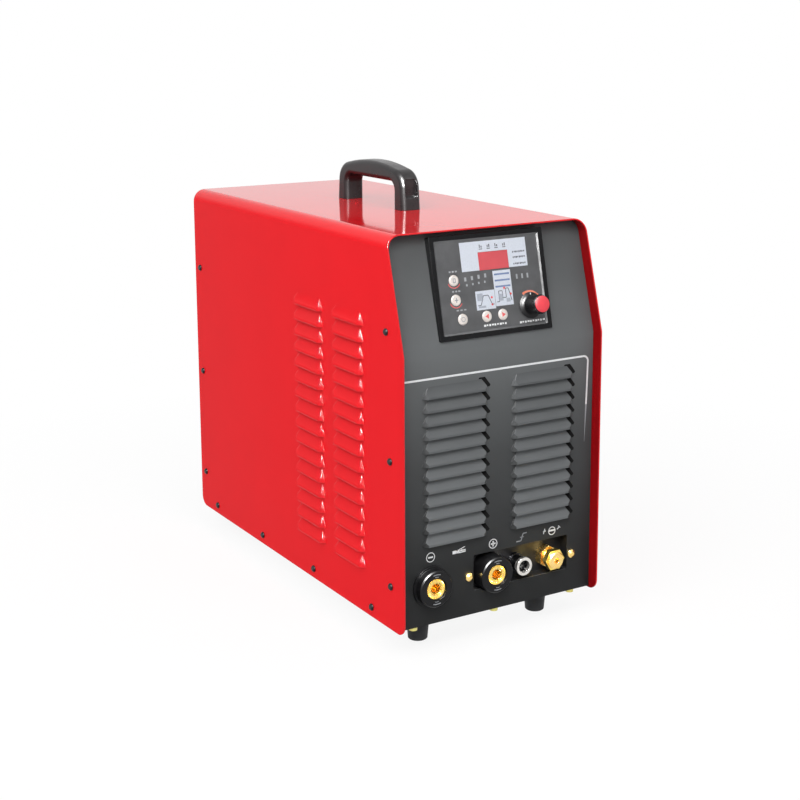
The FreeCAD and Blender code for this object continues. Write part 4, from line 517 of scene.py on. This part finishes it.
def make_symbols():
    """Plus, minus, earth clamp, torch switch and gas torch above the terminals."""
    z = SOCKET_AXIS_Z + SYMBOL_RISE
    minus_x, plus_x = middle("minus_socket").x, middle("plus_socket").x + 2.0 * MM
    bar, upright = rectangle(-2.9, 2.9, -0.8, 0.8), rectangle(-0.8, 0.8, -2.9, 2.9)
    printed("symbol_minus", [ring_outline(5.2, 0.9), bar], INK_WHITE, on_panel(minus_x, z))
    printed("symbol_plus", [ring_outline(5.2, 0.9), bar, upright], INK_WHITE, on_panel(plus_x, z))
    clamp = [rectangle(-8.0, -3.4, -2.0, 1.4), band([(-3.4, -0.2), (1.5, 0.2), (7.6, 0.4)], 1.3),
             band([(-3.0, -1.3), (2.0, -1.6), (7.6, -1.2)], 1.2), band([(-2.0, 0.8), (2.4, 2.4), (6.8, 3.8)], 0.9),
             band([(2.4, 2.4), (3.4, 0.4)], 0.9)]
    printed("symbol_clamp", clamp, INK_WHITE, on_panel(minus_x + CLAMP_SYMBOL_X, z))
    plug_x = middle("control_plug_shell").x
    switch = [band([(-6.4, -3.6), (-1.4, -3.6), (-0.2, -2.8)], 1.1), band([(-0.4, -3.4), (0.6, 0.4), (2.0, 4.0)], 1.2),
              band([(2.0, 4.0), (6.4, 4.2)], 1.1), band([(-1.8, 0.4), (2.8, 0.2)], 0.8)]
    printed("symbol_switch", switch, INK_GREY, on_panel(plug_x, z))
    gas_x = middle("gas_outlet").x
    torch = [ring_outline(4.6, 0.9), rectangle(-3.6, 3.6, -0.5, 1.4), band([(-11.4, 0.6), (-8.0, 1.4)], 1.4),
             band([(-11.0, -1.6), (-9.2, 3.8)], 1.0), band([(6.6, 0.4), (10.2, 3.0)], 1.1),
             band([(8.2, 4.0), (10.8, 1.6)], 1.0)]
    printed("symbol_torch", torch, INK_WHITE, on_panel(gas_x + 0.4 * MM, z))


def make_louvre_painted_shadows():
    """Near-black plates of painted shadow beside the right end of each front louvre, from its top corner down to its
    lip.
    """
    # Outline of one painted shadow, in millimetres from the louvre column's middle.
    shadow_outline = [(27.6, 11.9), (29.0, 13.5), (35.6, 13.5), (42.4, 4.8), (41.2, 3.0), (38.0, 3.0), (31.5, 11.7)]
    shapes = []
    for column in (-LOUVRE_COLUMN_X, LOUVRE_COLUMN_X):
        for row in range(LOUVRE_ROWS):
            shapes.append([(column + x, z + row * LOUVRE_PITCH) for x, z in shadow_outline])
    printed("louvre_painted_shadows", shapes, PAINTED_SHADOW_BLACK, on_panel(0, LOUVRE_HEIGHTS[0]))


# ---------------------------------------------------------------- terminals
INSERT_R = 10.4 * MM               # brass insert of a welding socket
KNURL_TEETH = 26
FINGERS = 12                       # contact fingers in its bore
FINGER_IN, FINGER_OUT = 5.4 * MM, 6.55 * MM
LOCK_OUTER_R, LOCK_INNER_R = 15.4, 12.9
GAS_NUT_AF = 20.6                  # across the flats
GAS_NUT_T = 6.4 * MM
GAS_NUT_BACK = 9.4 * MM            # nut's rear face behind the outlet's front
GAS_BARREL_R = 9.25
NUT_POINTS = 36
NUT_SHARP_ANGLE = 20.0


def add_tooth(bm, turn, half_turn, inner, outer, front, back):
    """One wedge of a ring round the y axis, between two radii and two depths."""
    rings = []
    for y in (front, back):
        corners = [(inner, turn - half_turn), (outer, turn - half_turn), (outer, turn + half_turn),
                   (inner, turn + half_turn)]
        rings.append([bm.verts.new((r * math.cos(a), y, r * math.sin(a))) for r, a in corners])
    bm.faces.new(rings[0])
    bm.faces.new(rings[1])
    for i in range(4):
        j = (i + 1) % 4
        bm.faces.new((rings[0][i], rings[0][j], rings[1][j], rings[1][i]))


def toothed_ring(name, count, fill, inner, outer, front, back, material, matrix, body="root"):
    """Ring of separate teeth that fill this share of the circle."""
    bm = bmesh.new()
    for i in range(count):
        add_tooth(bm, math.tau * i / count, math.pi * fill / count, inner, outer, front, back)
    return piece(name, finished(bm, name), material, matrix, body)


def make_insert_details():
    """Knurled rim and sprung contact fingers of each welding socket, and the lock marks on its face."""
    for side in ("minus", "plus"):
        axis = middle(side + "_socket")
        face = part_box(side + "_socket_insert")[0].y
        at_face = Matrix.Translation(Vector((axis.x, face, axis.z)))
        toothed_ring(side + "_knurl", KNURL_TEETH, 0.62, INSERT_R - 2.2 * MM, INSERT_R - 0.3 * MM, -0.5 * MM, 0.1 * MM,
                     RIM_BRASS, at_face)
        toothed_ring(side + "_fingers", FINGERS, 0.7, FINGER_IN, FINGER_OUT, 0.8 * MM, 7.0 * MM,
                     RIM_BRASS, at_face)
        front = Matrix.Translation(Vector((axis.x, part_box(side + "_socket")[0].y, axis.z)))
        marks = [band(arc(radius, turn - half, turn + half, 9), width)
                 for radius, half, width in ((LOCK_OUTER_R, 16, 0.9), (LOCK_INNER_R, 9, 0.6)) for turn in (90, 270)]
        printed(side + "_lock_marks", marks, INK_GREY, front)


def make_gas_nut():
    """Hexagon round the barrel of the gas outlet, for the spanner."""
    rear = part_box("gas_outlet")[0].y + GAS_NUT_BACK
    place = Matrix.Translation(Vector((middle("gas_outlet").x, rear, SOCKET_AXIS_Z)))
    sixth = math.tau / 6
    outline, hole = [], []
    for i in range(NUT_POINTS):
        a = math.tau * i / NUT_POINTS
        r = GAS_NUT_AF / 2 / math.cos(a % sixth - sixth / 2)
        outline.append((r * math.cos(a), r * math.sin(a)))
        hole.append((GAS_BARREL_R * math.cos(a), GAS_BARREL_R * math.sin(a)))
    nut = printed("gas_nut", [(outline, hole)], RIM_BRASS, place, thickness=GAS_NUT_T)
    smooth(nut, NUT_SHARP_ANGLE)


# ---------------------------------------------------------------- marks on the fascia
DISPLAY_AREA = (-34.5, 45.0, 66.0, 95.0)      # left, right, bottom and top in the control unit's frame
LENS_LEFT, LENS_RIGHT, LENS_TOP = -13.8, 22.0, 84.0
GRAPH_RIGHT = (1.2, 22.6, 28.5, 64.0)
GRAPH_LEFT = (-22.0, 0.8, 26.6, 45.5)
GRAPH_LINE_W = 0.8
SECOND_LAYER = 1.5 * PRINT_T                  # ink printed over a pale plate
BUTTON_UP = {"button_upper": 58.6, "button_middle": 39.1, "button_lower": 19.6,
             "button_left": 19.6, "button_right": 19.6}
BUTTON_FACE = 0.9 * MM                        # buttons' faces in front of the fascia
KNOB_UP = 25.5 * MM
KNOB_RIBS = 30
KNOB_RIB_IN, KNOB_RIB_OUT = 9.0 * MM, 9.85 * MM
KNOB_RIB_FRONT, KNOB_RIB_BACK = -18.5 * MM, -5.0 * MM
SCALE_R = 14.0                                # orange scale round the knob


def fascia_print(name, shapes, material, depth=0.0):
    return printed(name, shapes, material, UNIT, depth=depth)


def make_display_area():
    """Pale display field round the red lens, with unreadable figures and lines of text."""
    x0, x1, z0, z1 = DISPLAY_AREA
    plates = [rectangle(x0, LENS_LEFT, z0, z1), rectangle(LENS_LEFT, LENS_RIGHT, LENS_TOP, z1),
              rectangle(LENS_RIGHT, x1, z0, z1)]
    fascia_print("display_area", plates, INK_PALE)
    marks = []
    for i in range(4):
        x = -9.8 + i * 9.4
        marks.append(rectangle(x - 2.0, x + 2.0, 86.6, 87.5))
        marks.append(rectangle(x - 1.6, x - 0.5, 88.2, 91.6 - i % 2))
        marks.append(rectangle(x + 0.3, x + 1.6, 88.2, 90.4 + i % 2))
    for z in (69.0, 75.6, 81.0):
        for i in range(8):
            x = 27.8 + i * 1.9
            marks.append(rectangle(x, x + (1.5 if i % 3 else 1.1), z - 0.9 + 0.3 * (i % 2), z + 0.9))
    fascia_print("display_marks", marks, INK_DARK, SECOND_LAYER)


def graph_line(area, levels):
    """Generic current-over-time line across a graph area."""
    x0, x1, z0, z1 = area
    points = [(x0 + (x1 - x0) * u, z0 + (z1 - z0) * v) for u, v in levels]
    return [band(points[i:i + 2], GRAPH_LINE_W) for i in range(len(points) - 1)]


def make_graphs():
    """Two pale plates with the current's course over time."""
    fascia_print("graph_plates", [rectangle(*GRAPH_RIGHT), rectangle(*GRAPH_LEFT)], INK_PALE)
    pulse = ((0.08, 0.12), (0.22, 0.12), (0.22, 0.42), (0.42, 0.42), (0.42, 0.22), (0.62, 0.22), (0.62, 0.48),
             (0.78, 0.48), (0.92, 0.12))
    slope = ((0.08, 0.24), (0.24, 0.24), (0.40, 0.74), (0.66, 0.74), (0.82, 0.24), (0.94, 0.24))
    lines = graph_line(GRAPH_RIGHT, pulse) + graph_line(GRAPH_LEFT, slope)
    fascia_print("graph_lines", lines, INK_DARK, SECOND_LAYER)
    x0, x1, z0, z1 = GRAPH_RIGHT
    bars = [rectangle(x0 + 1.6, x1 - 1.6, z1 - 4.6 - i * 6.2, z1 - 2.8 - i * 6.2) for i in range(3)]
    fascia_print("graph_bars", bars, INK_BLUE, SECOND_LAYER)
    fields = [rectangle(x0 + 4.0, x0 + 9.6, z0 + 5.0, z0 + 12.0), rectangle(x0 + 13.2, x0 + 18.0, z0 + 3.2, z0 + 7.0),
              rectangle(-20.4, -13.6, 35.6, 43.0), rectangle(-19.6, -11.0, 28.4, 30.6)]
    fascia_print("graph_fields", fields, INK_FAINT, SECOND_LAYER)
    dots = [circle(x0 + 11.8, z0 + 17.5, 1.3, 20), circle(x0 + 19.0, z0 + 11.0, 1.2, 20), circle(-3.0, 38.0, 1.2, 20),
            circle(-3.2, 31.0, 1.2, 20)]
    fascia_print("graph_dots", dots, INK_RED, SECOND_LAYER)


def make_button_marks():
    """Red arcs under two buttons, and unreadable words beside the buttons and the knob."""
    arcs = [band(arc(7.4, 200, 330, 24, -45.3, BUTTON_UP[node]), 0.8) for node in ("button_upper", "button_middle")]
    fascia_print("button_arcs", arcs, INK_RED)
    faint = []
    for i in range(4):
        faint.append(rectangle(-33.0 + i * 8.0, -30.6 + i * 8.0, 56.6 + i * 0.6, 60.6 + i * 0.6))
        faint.append(rectangle(-31.6 + i * 7.2, -29.8 + i * 7.2, 51.6 + i * 0.5, 53.8 + i * 0.5))
    for i in range(3):
        faint.append(rectangle(29.0 + i * 6.6, 31.0 + i * 6.6, 53.6, 58.4))
    for i in range(3):
        faint.append(rectangle(-50.0 + i * 3.6, -47.8 + i * 3.6, 66.6, 68.2))
        faint.append(rectangle(-48.6 + i * 3.6, -46.4 + i * 3.6, 47.0, 48.6))
        faint.append(rectangle(-46.0 + i * 4.4, -43.4 + i * 4.4, 28.2, 29.6))
    fascia_print("fascia_ticks", faint, INK_GREY)
    legend = []
    for x0, z, count in ((-16.0, 9.6, 9), (27.4, 8.4, 10)):
        for i in range(count):
            x = x0 + i * 3.15
            legend.append(rectangle(x, x + (1.9 if i % 3 else 2.5), z + 0.5 * (i % 2), z + 2.1))
    fascia_print("fascia_legend", legend, INK_WHITE)


def make_button_symbols():
    """Arrows and glyphs on the five buttons, which ride with them."""
    arrow = [(-2.6, 0), (1.6, 2.6), (1.6, -2.6)]
    mirrored = [(-x, z) for x, z in reversed(arrow)]
    frame_glyph = [rectangle(-1.6, 1.6, -2.2, -1.4), rectangle(-1.6, 1.6, 1.4, 2.2),
                   rectangle(-1.6, -0.8, -1.4, 1.4), rectangle(0.8, 1.6, -1.4, 1.4)]
    cross = [rectangle(-0.5, 0.5, -2.4, 2.4), rectangle(-2.0, 2.0, -0.5, 0.5)]
    for node, kind, shapes, material in (("button_left", "_arrow", [arrow], INK_RED),
                                         ("button_right", "_arrow", [mirrored], INK_RED),
                                         ("button_upper", "_glyph", frame_glyph, INK_GREY),
                                         ("button_middle", "_glyph", cross, INK_GREY),
                                         ("button_lower", "_glyph", [ring_outline(2.4, 0.6)], INK_GREY)):
        center = UNIT.inverted() @ middle(node)
        place = UNIT @ Matrix.Translation(Vector((center.x, 0, BUTTON_UP[node] * MM)))
        obj = printed(node + kind, shapes, material, place, depth=BUTTON_FACE)
        obj.parent = None
        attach(obj, node)


def make_knob_marks():
    """Orange scale above the knob, the ribs round its grip and a pointer line on its skirt."""
    center = UNIT.inverted() @ middle("knob")
    place = UNIT @ Matrix.Translation(Vector((center.x, 0, KNOB_UP)))
    printed("knob_scale", [band(arc(SCALE_R, 34, 122, 30), 2.6)], INK_ORANGE, place)
    toothed_ring("knob_ribs", KNOB_RIBS, 0.45, KNOB_RIB_IN, KNOB_RIB_OUT, KNOB_RIB_FRONT, KNOB_RIB_BACK,
                 MATERIALS["knob_black"], place, "knob")
    pointer = [rectangle(-0.6, 0.6, 10.6, 12.6)]
    mark = printed("knob_pointer", pointer, INK_WHITE, place, depth=2.9 * MM)
    mark.parent = None
    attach(mark, "knob")


BEZEL_LIP = 1.5                               # frame's face in front of the fascia
BEZEL_OPENING = (-64.75, 60.75, 5.0, 98.5)
BEZEL_SLOPE_W = 1.9


def make_bezel_slope():
    """Sloping inner edge of the control unit's frame, from its front down to the fascia, with a light grey that paints
    the reflection on the black frame.
    """
    x0, x1, z0, z1 = BEZEL_OPENING
    rings = []
    for y, inset in ((-BEZEL_LIP + 0.1, 0.0), (-0.05, BEZEL_SLOPE_W), (-0.05, 0.0)):
        corners = rectangle(x0 + inset, x1 - inset, z0 + inset, z1 - inset)
        rings.append([(x * MM, y * MM, z * MM) for x, z in corners])
    bm = bmesh.new()
    rings = [[bm.verts.new(point) for point in ring] for ring in rings]
    for first, second in zip(rings, rings[1:] + rings[:1]):
        for i in range(4):
            j = (i + 1) % 4
            bm.faces.new((first[i], first[j], second[j], second[i]))
    piece("bezel_slope", finished(bm, "bezel_slope"), BEZEL_SLOPE_PAINTED_REFLECTION, UNIT)


for make in (make_insert_details, make_gas_nut, make_louvre_painted_shadows, make_bezel_slope, make_stripe, make_symbols,
             make_display_area, make_graphs, make_button_marks, make_button_symbols, make_knob_marks):
    make()


# ---------------------------------------------------------------- floor, light and camera
FLOOR_WHITE = 0.88       # share of plain white in the floor under the object; it grows to 1 further out
WHITE = (1, 1, 1, 1)
WORLD_LIGHT = 0.55
CAMERA_EYE = Vector((-0.83547, -1.44873, 0.63154))
CAMERA_TARGET = Vector((0.02445, -0.01099, 0.31326))
CAMERA_ROLL = -0.286     # degrees


def make_stage():
    """Pale floor that keeps the object's shadow and fades to plain white."""
    floor = Nodes("floor")
    floor.set(floor.shader, "Roughness", floor.spread(floor.noise(3.0), 0.85, 0.95))
    path = floor.tree.nodes.new("ShaderNodeLightPath")
    plain = floor.mix(floor.spread(floor.noise(1.5), 0.0, 1.0), (0.70, 0.70, 0.70), (0.73, 0.73, 0.73))
    floor.set(floor.shader, "Base_Color", floor.mix(path.outputs["Is Camera Ray"], plain, (1.0, 1.0, 1.0)))
    floor.set(floor.shader, "Specular_IOR_Level", 0.0)
    white = floor.add("ShaderNodeEmission", Color=WHITE, Strength=1.0)
    seen = floor.math("MAXIMUM", path.outputs["Is Camera Ray"], path.outputs["Is Glossy Ray"])
    seen = floor.math("MAXIMUM", seen, path.outputs["Is Transmission Ray"])
    away = floor.add("ShaderNodeVectorMath", Vector=floor.place)
    away.operation = "LENGTH"
    share = floor.math("MULTIPLY", seen, floor.spread(away.outputs["Value"], FLOOR_WHITE, 1.0, 0.30, 0.90))
    blend = floor.tree.nodes.new("ShaderNodeMixShader")
    for socket, value in zip(blend.inputs, (share, floor.shader.outputs[0], white.outputs[0])):
        floor.tree.links.new(value, socket)
    floor.tree.links.new(blend.outputs[0], floor.tree.nodes["Material Output"].inputs["Surface"])
    bm = bmesh.new()
    bmesh.ops.create_grid(bm, x_segments=1, y_segments=1, size=12.0)
    obj = bpy.data.objects.new("floor", finished(bm, "floor"))
    obj.data.materials.append(floor.material)
    obj.location.z = -0.2 * MM
    bpy.context.scene.collection.objects.link(obj)


def make_world():
    """Even light, seen as plain white by the camera and in reflections."""
    world = bpy.data.worlds.new("studio")
    bpy.context.scene.world = world
    world.use_nodes = True
    tree = world.node_tree
    back = tree.nodes["Background"]
    back.inputs["Color"].default_value = WHITE
    back.inputs["Strength"].default_value = WORLD_LIGHT
    seen = tree.nodes.new("ShaderNodeBackground")
    seen.inputs["Color"].default_value = WHITE
    seen.inputs["Strength"].default_value = 1.0
    path = tree.nodes.new("ShaderNodeLightPath")
    direct = path.outputs["Is Camera Ray"]
    for ray in ("Is Glossy Ray", "Is Transmission Ray"):
        either = tree.nodes.new("ShaderNodeMath")
        either.operation = "MAXIMUM"
        tree.links.new(direct, either.inputs[0])
        tree.links.new(path.outputs[ray], either.inputs[1])
        direct = either.outputs[0]
    mix = tree.nodes.new("ShaderNodeMixShader")
    tree.links.new(direct, mix.inputs[0])
    tree.links.new(back.outputs[0], mix.inputs[1])
    tree.links.new(seen.outputs[0], mix.inputs[2])
    tree.links.new(mix.outputs[0], tree.nodes["World Output"].inputs["Surface"])


def area_light(name, place, aim, size, power):
    """Rectangular lamp aimed at a point; lengths in metres, power in watts."""
    data = bpy.data.lights.new(name, "AREA")
    data.shape = "RECTANGLE"
    data.size, data.size_y = size
    data.energy = power
    obj = bpy.data.objects.new(name, data)
    obj.location = place
    obj.rotation_euler = (Vector(aim) - Vector(place)).to_track_quat("-Z", "Y").to_euler()
    bpy.context.scene.collection.objects.link(obj)
    return obj


def make_lamps():
    """Soft key from the left, a weak lamp on the top, and one that shows only in shiny edges."""
    area_light("key", (-1.7, -0.9, 1.7), (0, 0, 0.25), (1.8, 1.8), 35.0)
    area_light("top", (-0.1, -1.1, 1.5), (0, -0.2, 0.4), (0.9, 0.6), 7.0)
    glint = area_light("glint", (-0.56, -1.08, 1.30), (-0.12, -0.1, 0.22), (0.60, 1.00), 440.0)
    glint.visible_diffuse = False


def make_camera():
    """Camera placed as the photograph shows the object."""
    data = bpy.data.cameras.new("camera")
    data.sensor_width = 36.0
    data.lens = 67.39        # both in millimetres
    data.shift_y = -0.125
    obj = bpy.data.objects.new("camera", data)
    roll = Matrix.Rotation(math.radians(CAMERA_ROLL), 4, "Z")
    aimed = (CAMERA_TARGET - CAMERA_EYE).to_track_quat("-Z", "Y").to_matrix().to_4x4()
    obj.matrix_world = Matrix.Translation(CAMERA_EYE) @ aimed @ roll
    bpy.context.scene.collection.objects.link(obj)
    bpy.context.scene.camera = obj


make_stage()
make_world()
make_lamps()
make_camera()
bpy.context.scene.view_settings.view_transform = "Standard"
